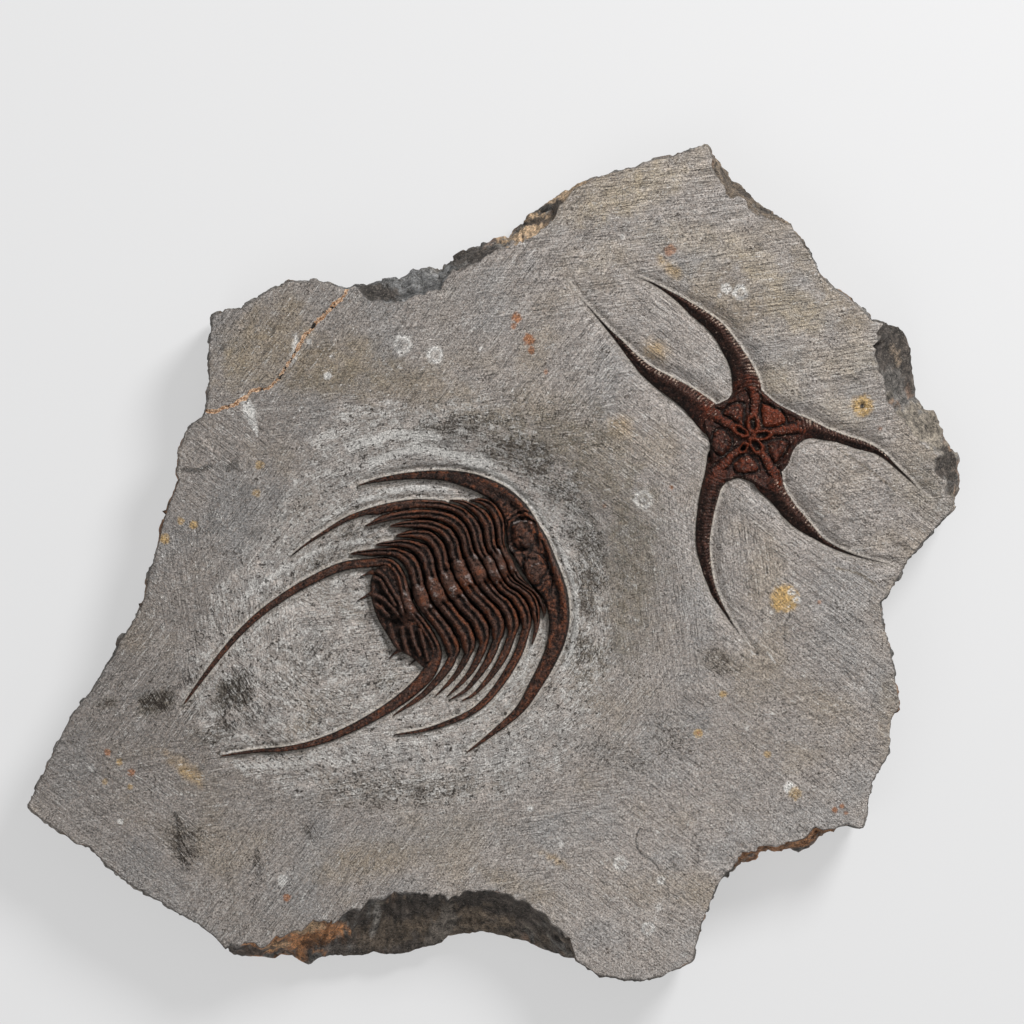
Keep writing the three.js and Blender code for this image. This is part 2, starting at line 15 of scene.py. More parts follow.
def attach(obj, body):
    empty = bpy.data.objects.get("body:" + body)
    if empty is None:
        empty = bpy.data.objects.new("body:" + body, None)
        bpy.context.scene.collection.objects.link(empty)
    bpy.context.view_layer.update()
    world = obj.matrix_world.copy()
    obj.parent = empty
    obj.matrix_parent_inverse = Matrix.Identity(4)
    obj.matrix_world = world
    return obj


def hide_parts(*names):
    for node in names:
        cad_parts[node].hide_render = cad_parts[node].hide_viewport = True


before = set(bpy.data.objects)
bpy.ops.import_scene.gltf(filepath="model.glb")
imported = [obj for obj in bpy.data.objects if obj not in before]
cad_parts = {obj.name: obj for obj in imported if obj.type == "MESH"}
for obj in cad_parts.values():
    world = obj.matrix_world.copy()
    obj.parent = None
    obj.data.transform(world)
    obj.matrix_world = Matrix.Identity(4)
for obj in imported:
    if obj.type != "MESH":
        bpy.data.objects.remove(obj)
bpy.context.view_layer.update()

MM = 0.001
LIGHT_ANGLE = math.radians(55)
LIGHT_SIDE = np.array([math.cos(LIGHT_ANGLE), math.sin(LIGHT_ANGLE)])

# ------------------------------------------------------------------ shape of the plate

FACE_HEIGHT = 28.0
FACE_SWELL = 0.7
WAIST_HEIGHT = 13.0  # the plate is widest here
FOOT_HEIGHT = 3.0
FOOT_INSET = 1.2  # how far the foot of the wall lies inside the waist
BACK_INSET = 3.6  # and the edge of the back

HOLLOW_CENTRE = (-22.0, -18.0)
HOLLOW_RADII = (84.0, 66.0)
HOLLOW_DEPTH = 6.5
HOLLOW_FLAT = 0.42  # the share of the hollow that is flat, on its gentle side
HOLLOW_STEEP_SIDE = 48.0  # degrees; towards here the flat runs further and the bank is steep

# Round the trilobite the stone is cut rough and dusted white, up to this line.
CHALK_EDGE = [
    (-53.8, 59.5), (-38.1, 58.8), (-22.4, 56.9), (-8.9, 60.2), (0.9, 59.5), (6.8, 54.8),
    (18.4, 44.9), (31.2, 26.6), (38.5, 6.6), (42.9, -20.8), (40.3, -50), (27.6, -71.9),
    (2.0, -86.5), (-34.5, -87.6), (-71, -82.9), (-102, -68.3), (-113, -46.4), (-107.5, -20.8),
    (-89.2, 6.6), (-74.6, 26.6), (-65.5, 44.9),
]

BODY_CENTRE = (-10.0, -8.0)
BODY_RADII = (38.0, 32.0)
AXIS = ((5.7, -2.6), (-33.4, -16.4))
AXIS_HALF_WIDTH = 5.0

STAR_CENTRE = (92.5, 46.4)
GROOVE_DEPTH = 2.2
GROOVE_BANK = 6.0

SINK = 1.6  # how far the fossils' flanks go down into the rock

STATION_SPACING = 0.45  # between the trilobite's stations, along each piece
PACKED = (6.6, 7.8)  # segments nearer to each other than this fill the room between them
COLUMN_SPACING = 1.0  # between the wall's columns of points, along the edge
FINE_CELL = 0.5  # the face's points stand this far apart at a fossil's edge or a mark
RIM_ROOM = 0.28  # the face's inner points keep this far from its rim
FACE_GRID = (172, 156)  # half the length and width that the face's points are tried over
BACK_GRID = (170, 155)
BACK_CELL = 6.0  # the back's points stand this far apart
WALL_ROWS = 14  # from the brink down to the waist
CRACK_GAP = 0.03  # each side's share of the open crack

# The mended crack, from the left edge to the notch on the top edge.
CRACK = [
    (-125, 62), (-105.3, 55.5), (-99.3, 56.4), (-94.7, 57.7), (-91.1, 60.4), (-88.7, 62.6),
    (-83.8, 63.5), (-80.1, 65.9), (-75.7, 71.9), (-72.1, 77.4), (-69.5, 82.7), (-63.1, 89.2),
    (-56.6, 95.8), (-53.8, 100), (-54.5, 118),
]

# ------------------------------------------------------------------ the fossils' lines

# Each thoracic segment, from its upper spine's tip over the axis to its lower one's.
SEGMENT_LINES = [
    [(-8.9, 23.0), (-5.3, 22.6), (-2.0, 21.2), (0.9, 17.9), (2.4, 13.1), (2.7, 8.4), (3.8, 4.7),
     (5.7, 1.1), (7.8, -4.4), (10.8, -7.3), (14.4, -9.9), (17.0, -12.8), (18.1, -16.4),
     (18.1, -19.7)],
    [(-16.2, 23.0), (-10.4, 21.9), (-5.7, 19.0), (-2.7, 15.0), (-1.6, 10.2), (-0.9, 5.8),
     (1.6, 2.2), (3.5, -2.6), (6.0, -6.6), (9.7, -8.8), (13.3, -12.0), (15.1, -16.1),
     (15.5, -21.5), (14.8, -25.9), (13.7, -29.9)],
    [(-73.9, 2.9), (-68.1, 7.3), (-61.9, 11.3), (-54.6, 15.7), (-46.9, 18.6), (-38.1, 20.8),
     (-29.0, 21.9), (-19.9, 21.5), (-14.4, 20.1), (-9.7, 16.8), (-7.1, 12.0), (-6.0, 7.7),
     (-4.6, 3.6), (-1.6, 0.0), (0.5, -4.4), (3.5, -9.1), (7.8, -12.4), (10.8, -16.8),
     (11.9, -21.5), (11.1, -25.6), (8.9, -32.5), (4.9, -39.8), (0.9, -45.6), (-3.5, -50.7),
     (-8.9, -54.8), (-16.2, -58.0), (-25.4, -61.0), (-36.7, -62.8)],
    [(-47.3, 13.5), (-38.1, 16.4), (-27.2, 17.9), (-19.9, 17.2), (-14.4, 15.0), (-11.1, 10.9),
     (-9.7, 6.2), (-8.2, 2.2), (-6.0, -2.2), (-3.5, -6.9), (-0.2, -11.3), (3.5, -14.6),
     (6.0, -18.6), (6.8, -23.0), (6.0, -27.0), (3.5, -33.6), (0.2, -39.1), (-3.8, -44.2),
     (-7.8, -48.2), (-11.9, -50.4)],
    [(-38.1, 13.5), (-30.8, 14.2), (-23.5, 13.9), (-18.4, 11.7), (-15.5, 8.0), (-14.4, 3.6),
     (-13.0, -1.1), (-10.8, -5.8), (-7.8, -10.6), (-4.2, -14.2), (-1.3, -17.2), (0.9, -21.2),
     (1.3, -25.2), (0.2, -29.9), (-2.4, -35.8), (-6.0, -41.2), (-10.4, -46.4), (-16.2, -50.0)],
    [(-36.0, 9.9), (-29.0, 10.6), (-23.9, 9.9), (-21.4, 7.3), (-19.5, 3.3), (-18.8, -1.1),
     (-17.3, -5.5), (-14.4, -10.6), (-10.8, -15.7), (-7.1, -19.7), (-4.6, -24.1), (-3.8, -28.1),
     (-4.9, -32.5), (-7.8, -38.3), (-11.1, -42.7), (-15.5, -47.1), (-17.3, -48.9)],
    [(-43.3, 6.6), (-36.3, 7.3), (-30.8, 6.9), (-26.8, 4.7), (-24.3, 1.1), (-23.5, -2.9),
     (-22.4, -7.3), (-19.9, -12.8), (-16.2, -17.9), (-13.0, -21.9), (-10.0, -26.6),
     (-9.3, -30.7), (-10.4, -34.7), (-13.3, -39.8), (-17.0, -44.2), (-21.4, -48.5)],
    [(-52.7, 3.3), (-41.8, 4.4), (-36.0, 4.0), (-32.3, 2.2), (-29.7, -1.1), (-28.3, -5.5),
     (-27.6, -9.9), (-25.7, -14.6), (-22.8, -19.0), (-19.5, -23.0), (-16.6, -27.7),
     (-15.1, -31.8), (-15.9, -35.8), (-18.4, -39.8), (-21.4, -43.4), (-25.7, -47.8),
     (-30.1, -51.1), (-34.5, -54.0), (-37.0, -55.8)],
]
LONGEST = 2  # the segment with the longest spines
# Each segment's upper spine, then its lower: width at the body, length of the taper.
SEGMENT_SPINES = [
    (2.6, 7, 2.2, 5), (3.0, 12, 2.8, 12), (2.9, 50, 3.2, 50), (2.9, 26, 3.2, 24),
    (3.0, 10, 3.2, 24), (3.0, 9, 3.2, 22), (2.9, 11, 3.3, 24), (2.8, 18, 3.4, 28),
]
# The line along which the lower spines leave the body, from the head to the tail.
SPINE_ROOTS = [
    (19.5, -19), (16.3, -21.6), (13.3, -23.7), (8.6, -24.5), (3.5, -27.7), (-2.7, -28.8),
    (-7.1, -32.1), (-13.0, -34.3), (-19.5, -33.6), (-25, -37),
]
# Where each axial ring has its upper end, a knob with a painted highlight, and its middle.
RING_KNOBS = [
    (5.7, 5.5), (2.0, 4.4), (-2.0, 1.5), (-7.1, 2.2), (-12.6, 0.0), (-18.1, -4.4), (-22.8, -6.2),
    (-27.9, -8.8), (-32.3, -11.3),
]
RING_LENGTH = 10.0
KNOB_TURN = -50  # degrees; the way the painted highlight on a knob runs

# The rib of the tail that carries the two longest spines: x, y, width.
TAIL_RIB = [
    (-113.2, -51.4, 0.5), (-111.5, -49.1, 0.9), (-105.9, -41.4, 1.5), (-99.3, -32.9, 1.9),
    (-92.6, -25.2, 2.2), (-83.8, -17.2, 2.5), (-71.0, -8.6, 2.9), (-56.4, -1.6, 3.4),
    (-45.4, 0.0, 3.4), (-39.6, 0.4, 3.6), (-36.3, -1.8, 4.0), (-34.1, -5.8, 4.0),
    (-33.0, -10.2, 4.2), (-31.6, -15.0, 4.2), (-29.0, -19.0, 4.0), (-25.7, -23.4, 4.0),
    (-22.8, -28.1, 4.0), (-21.4, -32.5, 4.6), (-22.4, -36.9, 5.0), (-24.6, -40.9, 5.1),
    (-29.0, -45.6, 4.6), (-34.5, -50.0, 4.1), (-41.8, -54.8, 3.5), (-52.7, -60.6, 2.8),
    (-63.7, -65.0, 2.4), (-74.6, -67.5, 1.9), (-85.6, -68.4, 1.4), (-92.9, -69.3, 1.0),
    (-99.5, -70.3, 0.5),
]
# The tail's fan behind the rib: its rear margin, from the upper end to the lower.
FAN_MARGIN = [
    (-38.9, 0.7), (-43.4, -2.4), (-45.2, -6.2), (-45.4, -9.9), (-44.7, -14.6), (-42.5, -20.8),
    (-39.2, -26.3), (-36.3, -31.0), (-33.4, -32.9), (-30.1, -34.7), (-27.2, -37.2),
    (-24.4, -39.6),
]
FAN_ROOT = ((-38.0, 0.2), (-23.6, -39.0))  # where the fan leaves the rib, at its two ends
FAN_HOLLOW = (-35.6, -21.4)
FAN_RIBS = [
    [(-45.4, -2.9), (-42.9, -2.9), (-40.3, -4.7), (-38.1, -8.4), (-36.3, -11.3), (-34.9, -13.5),
     (-33.4, -17.9)],
    [(-45.4, -4.4), (-41.8, -6.2), (-39.2, -10.6), (-36.3, -15.3)],
    [(-45.8, -11.7), (-43.3, -11.7), (-40.0, -13.5), (-37.4, -16.1), (-35.2, -19.0)],
    [(-44.9, -14.2), (-41.6, -16.4), (-38.7, -19.3)],
    [(-38.1, -22.6), (-37.2, -26.6), (-35.2, -31.8)],
    [(-33.8, -23.7), (-33.0, -28.5), (-31.6, -33.6)],
    [(-30.8, -23.7), (-29.2, -29.2), (-27.2, -33.6)],
    [(-27.2, -24.5), (-25.7, -30.3), (-24.3, -35.4)],
]
# The tail's four short thorns: tip, then root.
THORNS = [
    ((-49.1, -5.1), (-44.0, -3.3)),
    ((-50.2, -13.9), (-44.2, -11.0)),
    ((-38.7, -35.0), (-34.3, -31.4)),
    ((-31.0, -37.2), (-27.6, -34.6)),
]

# The head shield: outer edge x, y, then inner edge x, y, from one cheek spine's tip
# round the front to the other's.
HEAD = [
    (-49.8, 28.5, -49.5, 28.2), (-41.4, 31.2, -41.1, 29.6), (-30.5, 33.2, -30.1, 30.5),
    (-19.2, 33.9, -19.7, 30.1), (-9.3, 32.9, -12.2, 28.1), (-0.9, 30.3, -5.3, 25.2),
    (6, 26.5, 0.3, 21.6), (11.5, 21.4, 3.6, 16.2), (15.5, 15.3, 4.3, 11.2),
    (19.3, 9.1, 4.9, 5.8), (22.6, 1.3, 8.2, 0.4), (25.4, -6, 11.6, -5.4),
    (27.0, -12.8, 17.4, -12.2), (27.4, -21.2, 19.7, -19.3), (25.6, -29.6, 19.4, -28.1),
    (21.8, -37.8, 16.8, -35.6), (16.6, -46.4, 12.8, -43.6), (10.2, -54.8, 7.8, -52.6),
    (-0.2, -62.8, -1.4, -61.5), (-10, -69.3, -10.3, -69),
]
HEAD_REAR = [
    (-12.2, 28.1), (-5.3, 25.2), (0.3, 21.6), (3.2, 17.2), (4.0, 12.0), (3.9, 6.6), (6.6, 1.1),
    (9.3, -4.0), (13.6, -9.0), (18.0, -14.2), (19.7, -19.3),
]
HEAD_FURROW = [(17.5, 8.0), (19.0, 3.5), (20.2, -1.0), (21.0, -5.5), (20.6, -10.0)]
EYE = (10.8, 10.6)
EYE_RADII = (4.6, 5.3)
GLABELLA = (14.8, -2.2)
GLABELLA_RADII = (4.0, 5.6)
GLABELLA_FOLD = [(12.0, 2.0), (15.4, 1.4), (17.8, -0.6)]
# Painted highlights on the head's folds: points, half width, strength.
HEAD_HIGHLIGHTS = [
    ([(7.2, 14.5), (10.0, 15.6), (13.5, 14.7)], 0.55, 1.0), ([(6.6, 16.8), (10.0, 17.6)], 0.4, 0.5),
    ([(10.9, 6.4), (15.2, 7.4)], 0.5, 0.8), ([(13.7, -1.1), (16.5, 0.1)], 0.5, 0.9),
    ([(19.0, 1.6), (20.3, -0.8), (19.9, -3.6)], 0.4, 0.75), ([(6.5, 2.4), (8.4, 1.3)], 0.5, 0.9),
    ([(17.6, -6.6), (20.3, -4.4)], 0.4, 0.6), ([(8.6, -1.2), (10.0, -2.2)], 0.45, 0.9),
    ([(4.8, 19.5), (9.0, 16.0)], 0.35, 0.5), ([(14.5, 10.8), (15.3, 8.8)], 0.4, 0.5),
    ([(8.2, 11.8), (9.5, 13.2)], 0.5, 0.5), ([(12.2, -4.6), (14.0, -5.8)], 0.4, 0.5),
]
NAPE = (8.6, 1.2)
NAPE_RADII = (2.0, 3.4)
HEAD_PIT = (11.0, 5.0)

# The star's arms: x, y, width, from the disc to the tip.
STAR_ARMS = [
    [(92.2, 60.4, 11.2), (91.8, 65.3, 10.2), (90.0, 71.5, 8.0), (88.1, 75.2, 7.1),
     (86.1, 78.5, 6.6), (84.0, 81.8, 6.0), (81.2, 85.4, 5.5), (77.2, 88.9, 4.7),
     (72.5, 92.3, 4.0), (67.5, 96.0, 2.6), (61.5, 99.8, 1.5), (56.8, 102.4, 1.1),
     (52.0, 104.4, 0.7), (47.3, 107.3, 0.3)],
    [(82.4, 50.2, 11.7), (79.5, 51.9, 10.9), (75.9, 55.5, 9.9), (71.3, 59.6, 8.4),
     (66.1, 63.1, 7.3), (61.0, 66.2, 6.2), (55.8, 69.9, 4.7), (50.6, 75.0, 3.3),
     (46.5, 79.6, 2.6), (41.8, 84.7, 1.5), (34.5, 93.1, 0.8), (30.5, 97.8, 0.5),
     (26.8, 103.3, 0.3)],
    [(107.2, 48.2, 10.9), (111.5, 49.1, 9.0), (115.9, 48.5, 6.2), (120.5, 47.1, 4.6),
     (125.6, 45.6, 3.5), (130.5, 44.0, 3.6), (134.9, 42.6, 3.5), (138.9, 41.0, 2.7),
     (142.2, 38.9, 2.2), (145.5, 35.8, 1.6), (149.1, 32.5, 1.3), (152.4, 29.4, 0.9),
     (155.7, 26.1, 0.5), (160.0, 22.8, 0.3)],
    [(97.9, 33.4, 10.6), (100.2, 29.2, 9.5), (103.8, 24.1, 6.8), (107.7, 18.8, 6.2),
     (111.5, 15.0, 5.5), (115.0, 11.9, 4.0), (118.1, 9.3, 2.7), (121.2, 7.1, 2.0),
     (126.8, 4.4, 1.5), (134.1, 1.9, 1.0), (140.7, 0.4, 0.7), (146.5, -1.3, 0.4)],
    [(82.4, 38.0, 10.2), (81.4, 33.2, 9.1), (79.4, 28.5, 7.3), (78.3, 24.5, 6.9),
     (77.2, 19.3, 6.2), (76.4, 13.9, 5.8), (76.0, 8.9, 5.2), (76.2, 4.7, 4.7),
     (76.9, 0.4, 4.0), (77.7, -3.6, 3.5), (79.0, -7.7, 2.9), (80.3, -11.3, 2.6),
     (82.7, -15.7, 1.8), (84.5, -18.6, 1.4), (86.5, -21.9, 1.1), (88.7, -24.8, 0.8),
     (91.1, -28.1, 0.6), (93.3, -31.0, 0.3)],
]
DISC_MARGIN = [
    (97.6, 62.8), (104.2, 57.7), (110.4, 54.4), (114.1, 51.6), (114.4, 48.5), (113.3, 45.4),
    (111.7, 43.9), (109.7, 42.0), (108.2, 38.7), (107.5, 36.3), (105.7, 33.9), (104.7, 32.1),
    (105.3, 29.2), (103.8, 26.4), (100.9, 25.6), (97.6, 26.9), (95.1, 28.5), (92.5, 29.9),
    (89.6, 30.8), (87.1, 30.5), (85.6, 29.8), (83.0, 29.6), (79.2, 31.2), (77.9, 33.9),
    (78.8, 35.8), (78.8, 39.8), (77.9, 45.3), (76.5, 48.2), (75.6, 51.4), (76.4, 54.6),
    (78.2, 56.9), (80.8, 57.9), (83.4, 59.1), (85.6, 60.4), (87.0, 62.6), (89.3, 64.4),
    (92.5, 65.2), (95.6, 64.6),
]
# The five wedge plates between the arms, on the star's disc.
DISC_PLATES = [
    [(83.0, 54.4), (86.3, 57.3), (90.0, 58.0), (90.7, 55.8), (90.3, 52.2), (90.0, 50.4),
     (86.7, 52.6)],
    [(97.6, 58.0), (101.3, 56.6), (104.6, 54.8), (106.0, 51.8), (103.5, 50.0), (99.8, 49.6),
     (97.6, 51.1)],
    [(99.5, 43.4), (102.4, 44.5), (106.4, 44.2), (106.4, 42.0), (104.6, 39.1), (102.4, 36.9),
     (100.6, 39.1)],
    [(87.1, 36.1), (90.0, 38.3), (92.5, 39.1), (95.4, 36.5), (95.8, 33.9), (92.5, 33.2),
     (88.5, 33.2)],
    [(79.8, 47.1), (82.3, 48.5), (85.2, 46.4), (86.3, 44.2), (85.2, 41.2), (82.3, 39.4),
     (79.4, 42.7)],
]
PLATE_REDNESS = (0.55, 0.95, 0.50, 0.6, 0.45)
# The ridge that runs from the mouth out along each arm.
DISC_RIDGES = [
    [(94.5, 53.0), (94.7, 55.0), (95.1, 60.2), (93.0, 66.5)],
    [(88.2, 49.2), (84.0, 51.6), (79.4, 54.6), (74.5, 58.0)],
    [(100.2, 47.4), (106.0, 48.6), (111.5, 49.4), (118.0, 48.2)],
    [(97.2, 40.8), (100.2, 35.8), (103.1, 31.0), (106.0, 25.9)],
    [(88.6, 41.0), (85.2, 37.6), (81.4, 33.6), (79.2, 28.5)],
]
# The mouth's five loops of jaw: x, y, half length, half width, direction in degrees.
MOUTH_LOOPS = [
    (94.3, 50.7, 3.3, 2.0, 94), (89.6, 48.1, 3.0, 1.6, 148), (97.5, 46.6, 3.3, 1.6, 9),
    (95.4, 42.8, 3.2, 1.9, 308), (90.7, 42.0, 2.2, 1.2, 222),
]


# ------------------------------------------------------------------ small mathematics

def smoothstep(value, low, high):
    """0 below low and 1 above high, eased between them."""
    share = np.clip((value - low) / (high - low), 0.0, 1.0)
    return share * share * (3.0 - 2.0 * share)


def mixed(first, second, share):
    """Runs from the first value to the second as the share runs from 0 to 1."""
    return first + (second - first) * share


def bump(distance, width):
    """1 at no distance, falling away smoothly over the width."""
    return np.exp(-((distance / width) ** 2))


def smooth_line(points, spacing):
    """Rows evenly spaced along a smooth curve through the given rows; x and y come first."""
    given = np.asarray(points, float)
    guarded = np.vstack([2 * given[0] - given[1], given, 2 * given[-1] - given[-2]])
    share = np.linspace(0, 1, 16, endpoint=False)[:, None]
    parts = []
    for i in range(1, len(guarded) - 2):
        a, b, c, d = guarded[i - 1:i + 3]
        parts.append(0.5 * (
            2 * b + (c - a) * share + (2 * a - 5 * b + 4 * c - d) * share ** 2
            + (3 * b - a - 3 * c + d) * share ** 3))
    parts.append(given[-1:])
    return respaced(np.vstack(parts), spacing)


def respaced(rows, spacing):
    """Rows evenly spaced along a line of straight pieces; x and y come first."""
    lengths = running_length(rows)
    count = max(2, int(round(lengths[-1] / spacing)) + 1)
    at = np.linspace(0, lengths[-1], count)
    return np.column_stack([np.interp(at, lengths, column) for column in rows.T])


def running_length(rows):
    """The length along a line up to each of its rows."""
    steps = np.hypot(*np.diff(rows[:, :2], axis=0).T)
    return np.concatenate([[0.0], np.cumsum(steps)])


def round_lookup(angle, angles, values):
    """A value at any angle, where it is known at some angles all round a circle."""
    order = np.argsort(angles)
    turn = angles[order]
    turns = np.concatenate([turn - 2 * math.pi, turn, turn + 2 * math.pi])
    return np.interp(angle, turns, np.tile(values[order], 3))


def left_normals(line):
    """For each row of a line, the direction straight out to its left."""
    along = np.gradient(line[:, :2], axis=0)
    along /= np.linalg.norm(along, axis=1)[:, None]
    return np.column_stack([-along[:, 1], along[:, 0]])


TILE = 9.0  # the size of the squares that nearest() sorts points into


def nearest(points, targets, reaches=0.0):
    """For each point, the nearest target's index and its distance less that target's own
    reach. The points are taken tile by tile, each against the few targets that can matter."""
    reach = np.broadcast_to(np.asarray(reaches, float), (len(targets),))
    found = np.empty(len(points), int)
    gap = np.empty(len(points))
    keys, member = np.unique(np.floor(points / TILE).astype(int), axis=0, return_inverse=True)
    order = np.argsort(member.ravel(), kind="stable")
    starts = np.searchsorted(member.ravel()[order], np.arange(len(keys) + 1))
    for i, key in enumerate(keys):
        rows = order[starts[i]:starts[i + 1]]
        middle = (key + 0.5) * TILE
        spread = np.hypot(*(targets[:, :2] - middle).T) - reach
        close = np.flatnonzero(spread <= spread.min() + TILE * 1.42)
        offset = points[rows][:, None, :2] - targets[close][None, :, :2]
        gaps = np.sqrt(offset[..., 0] ** 2 + offset[..., 1] ** 2) - reach[close]
        best = gaps.argmin(axis=1)
        found[rows] = close[best]
        gap[rows] = gaps[np.arange(len(rows)), best]
    return found, gap


def inside_loop(x, y, loop):
    """True for each point that lies within a closed loop."""
    inside = np.zeros(len(x), bool)
    following = np.roll(loop, -1, axis=0)
    for (ax, ay), (bx, by) in zip(loop, following):
        if ay == by:
            continue
        crosses = (ay > y) != (by > y)
        inside ^= crosses & (x < ax + (y - ay) * (bx - ax) / (by - ay))
    return inside


def polygon_gap(points, polygon, spacing):
    """Distance to a polygon's edge, negative inside."""
    loop = smooth_line(list(polygon) + [polygon[0]], spacing)[:-1]
    gap = nearest(points, loop)[1]
    return np.where(inside_loop(points[:, 0], points[:, 1], loop), -gap, gap)


def distance_to_line(points, line):
    """Each point's distance to a line of straight pieces."""
    dense = respaced(np.asarray(line, float), 0.25)
    return nearest(points, dense)[1]


# Tables of chance values that the noise looks up, the same on every run.
TABLE = 4096
RANDOM = np.random.default_rng(20)
ORDER = RANDOM.permutation(TABLE)
SLOPES = RANDOM.uniform(-1.0, 1.0, (TABLE, 3))
CHANCES = RANDOM.uniform(0.0, 1.0, (TABLE, 5))


def looked_up(cells, seed):
    """A repeatable place in the tables for each whole-numbered cell."""
    index = np.full(cells.shape[0], seed * 57 % TABLE)
    for axis in range(cells.shape[1]):
        index = ORDER[(index + cells[:, axis]) & (TABLE - 1)]
    return index


def solid_points(x, y, z=0.0):
    """Rows of x, y and z."""
    return np.column_stack([x, y, np.broadcast_to(z, np.shape(x))])


def noise(points, seed):
    """Smooth gradient noise in two or three dimensions, about -1 to 1, one feature per unit."""
    base = np.floor(points).astype(np.int64)
    inside = points - base
    fade = inside * inside * inside * (inside * (inside * 6 - 15) + 10)
    total = np.zeros(len(points))
    for corner in np.ndindex(*(2,) * points.shape[1]):
        slope = SLOPES[looked_up(base + np.array(corner), seed)]
        weight = np.ones(len(points))
        value = np.zeros(len(points))
        for axis, step in enumerate(corner):
            weight *= fade[:, axis] if step else 1 - fade[:, axis]
            value += slope[:, axis] * (inside[:, axis] - step)
        total += weight * value
    return total * 1.6


def fractal(points, seed, octaves=4, gain=0.5):
    """Noise with finer and weaker noise on top."""
    total = np.zeros(len(points))
    size = 1.0
    for octave in range(octaves):
        total += size * noise(points * 2.03 ** octave + 17.3 * octave, seed + octave)
        size *= gain
    return total


def facets(points, seed, slope):
    """Broken-stone facets: flat tilted chips with steps between them."""
    cells = np.floor(points).astype(np.int64)
    best = np.full(len(points), 1e9)
    result = np.zeros(len(points))
    for corner in np.ndindex(3, 3, 3):
        there = cells + np.array(corner) - 1
        index = looked_up(there, seed)
        gap = points - (there + CHANCES[index, :3])
        distance = np.sum(gap * gap, axis=1)
        height = slope * np.sum(SLOPES[index] * gap, axis=1) + CHANCES[index, 3] - 0.5
        closer = distance < best
        best = np.where(closer, distance, best)
        result = np.where(closer, height, result)
    return result


def turned(x, y, cx, cy, degrees):
    """Places along and across a direction, measured from a centre."""
    cosine, sine = math.cos(math.radians(degrees)), math.sin(math.radians(degrees))
    dx, dy = x - cx, y - cy
    return dx * cosine + dy * sine, dy * cosine - dx * sine


def ellipse_distance(x, y, centre, radii):
    """1 on the ellipse, less inside it."""
    return np.hypot((x - centre[0]) / radii[0], (y - centre[1]) / radii[1])


# ------------------------------------------------------------------ the fossils' ground plan

def above_roots(points):
    """How far each point lies on the body's side of the lower spines' roots."""
    line = smooth_line(SPINE_ROOTS, 0.5)
    index, _ = nearest(points, line)
    return -np.sum((points - line[index]) * left_normals(line)[index], axis=1)


def neighbour(line, other):
    """Each point's distance to another line, and how far from that line's ends it falls."""
    index, gap = nearest(line, other)
    return gap, np.minimum(index, len(other) - 1 - index) * STATION_SPACING


def segment_plan():
    """Each segment's stations with its half width to the left (towards the head) and to the
    right (towards the tail). In the body the segments fill the room between them."""
    given = [HEAD_REAR, *SEGMENT_LINES, TAIL_RIB]
    head, *lines, rib = (smooth_line(line, STATION_SPACING) for line in given)
    plans = []
    for i, line in enumerate(lines):
        upper_width, upper_taper, lower_width, lower_taper = SEGMENT_SPINES[i]
        run = running_length(line)
        to_end = run[-1] - run
        blunt = 0.8 if i < 3 else 0.45
        upper = 0.5 * (0.4 + (upper_width - 0.4) * np.clip(run / upper_taper, 0, 1) ** blunt)
        lower = 0.5 * (0.4 + (lower_width - 0.4) * np.clip(to_end / lower_taper, 0, 1) ** 0.8)
        free = mixed(upper, lower, smoothstep(run / run[-1], 0.4, 0.6))
        ahead, ahead_in = neighbour(line, [head, *lines][i])
        behind, behind_in = neighbour(line, [*lines, rib][i + 1])
        if i == 0:
            # the head shield's rear edge is no spine: the first segment runs right up to it
            ahead, ahead_in = ahead * 2, 9.0
        packed = smoothstep(above_roots(line), -0.5, 2.5) * smoothstep(run, 0.5, 9.0)
        packed = packed * smoothstep(to_end, 0.5, 7.0)
        fore = packed * (1 - smoothstep(ahead, *PACKED)) * smoothstep(ahead_in, 1.0, 7.0)
        aft = packed * (1 - smoothstep(behind, *PACKED)) * smoothstep(behind_in, 1.0, 7.0)
        left = mixed(np.minimum(free, ahead * 0.5), np.minimum(ahead * 0.5, 3.6), fore)
        right = mixed(np.minimum(free, behind * 0.5), np.minimum(behind * 0.5, 3.6), aft)
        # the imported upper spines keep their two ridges; the longest one is round
        upper_side = 1 - smoothstep(run / run[-1], 0.4, 0.5)
        ridged = np.maximum(packed, upper_side)
        if i == LONGEST:
            ridged = ridged * smoothstep(line[:, 0], -30, -20)
        plans.append({"line": line, "left": left, "right": right, "body": ridged, "run": run})
    return plans


def band_plan(rows, spacing=STATION_SPACING):
    """A band's stations from rows of x, y and width."""
    line = smooth_line(rows, spacing)
    run = running_length(line)
    half = line[:, 2] / 2
    return {"line": line[:, :2], "left": half, "right": half, "run": run}


SEGMENTS = segment_plan()
RIB = band_plan(TAIL_RIB)
ARMS = [band_plan(arm, 0.22) for arm in STAR_ARMS]
HEAD_ROWS = [((a + c) / 2, (b + d) / 2, a, b, c, d) for a, b, c, d in HEAD]
HEAD_PAIRS = smooth_line(HEAD_ROWS, STATION_SPACING)[:, 2:]


def footprint_of(plans):
    """Samples of every piece's middle line with their half widths."""
    centres = []
    reaches = []
    for plan in plans:
        normal = left_normals(plan["line"])
        middle = plan["line"] + normal * ((plan["left"] - plan["right"]) / 2)[:, None]
        centres.append(middle[::2])
        reaches.append(((plan["left"] + plan["right"]) / 2)[::2])
    return np.vstack(centres), np.concatenate(reaches)


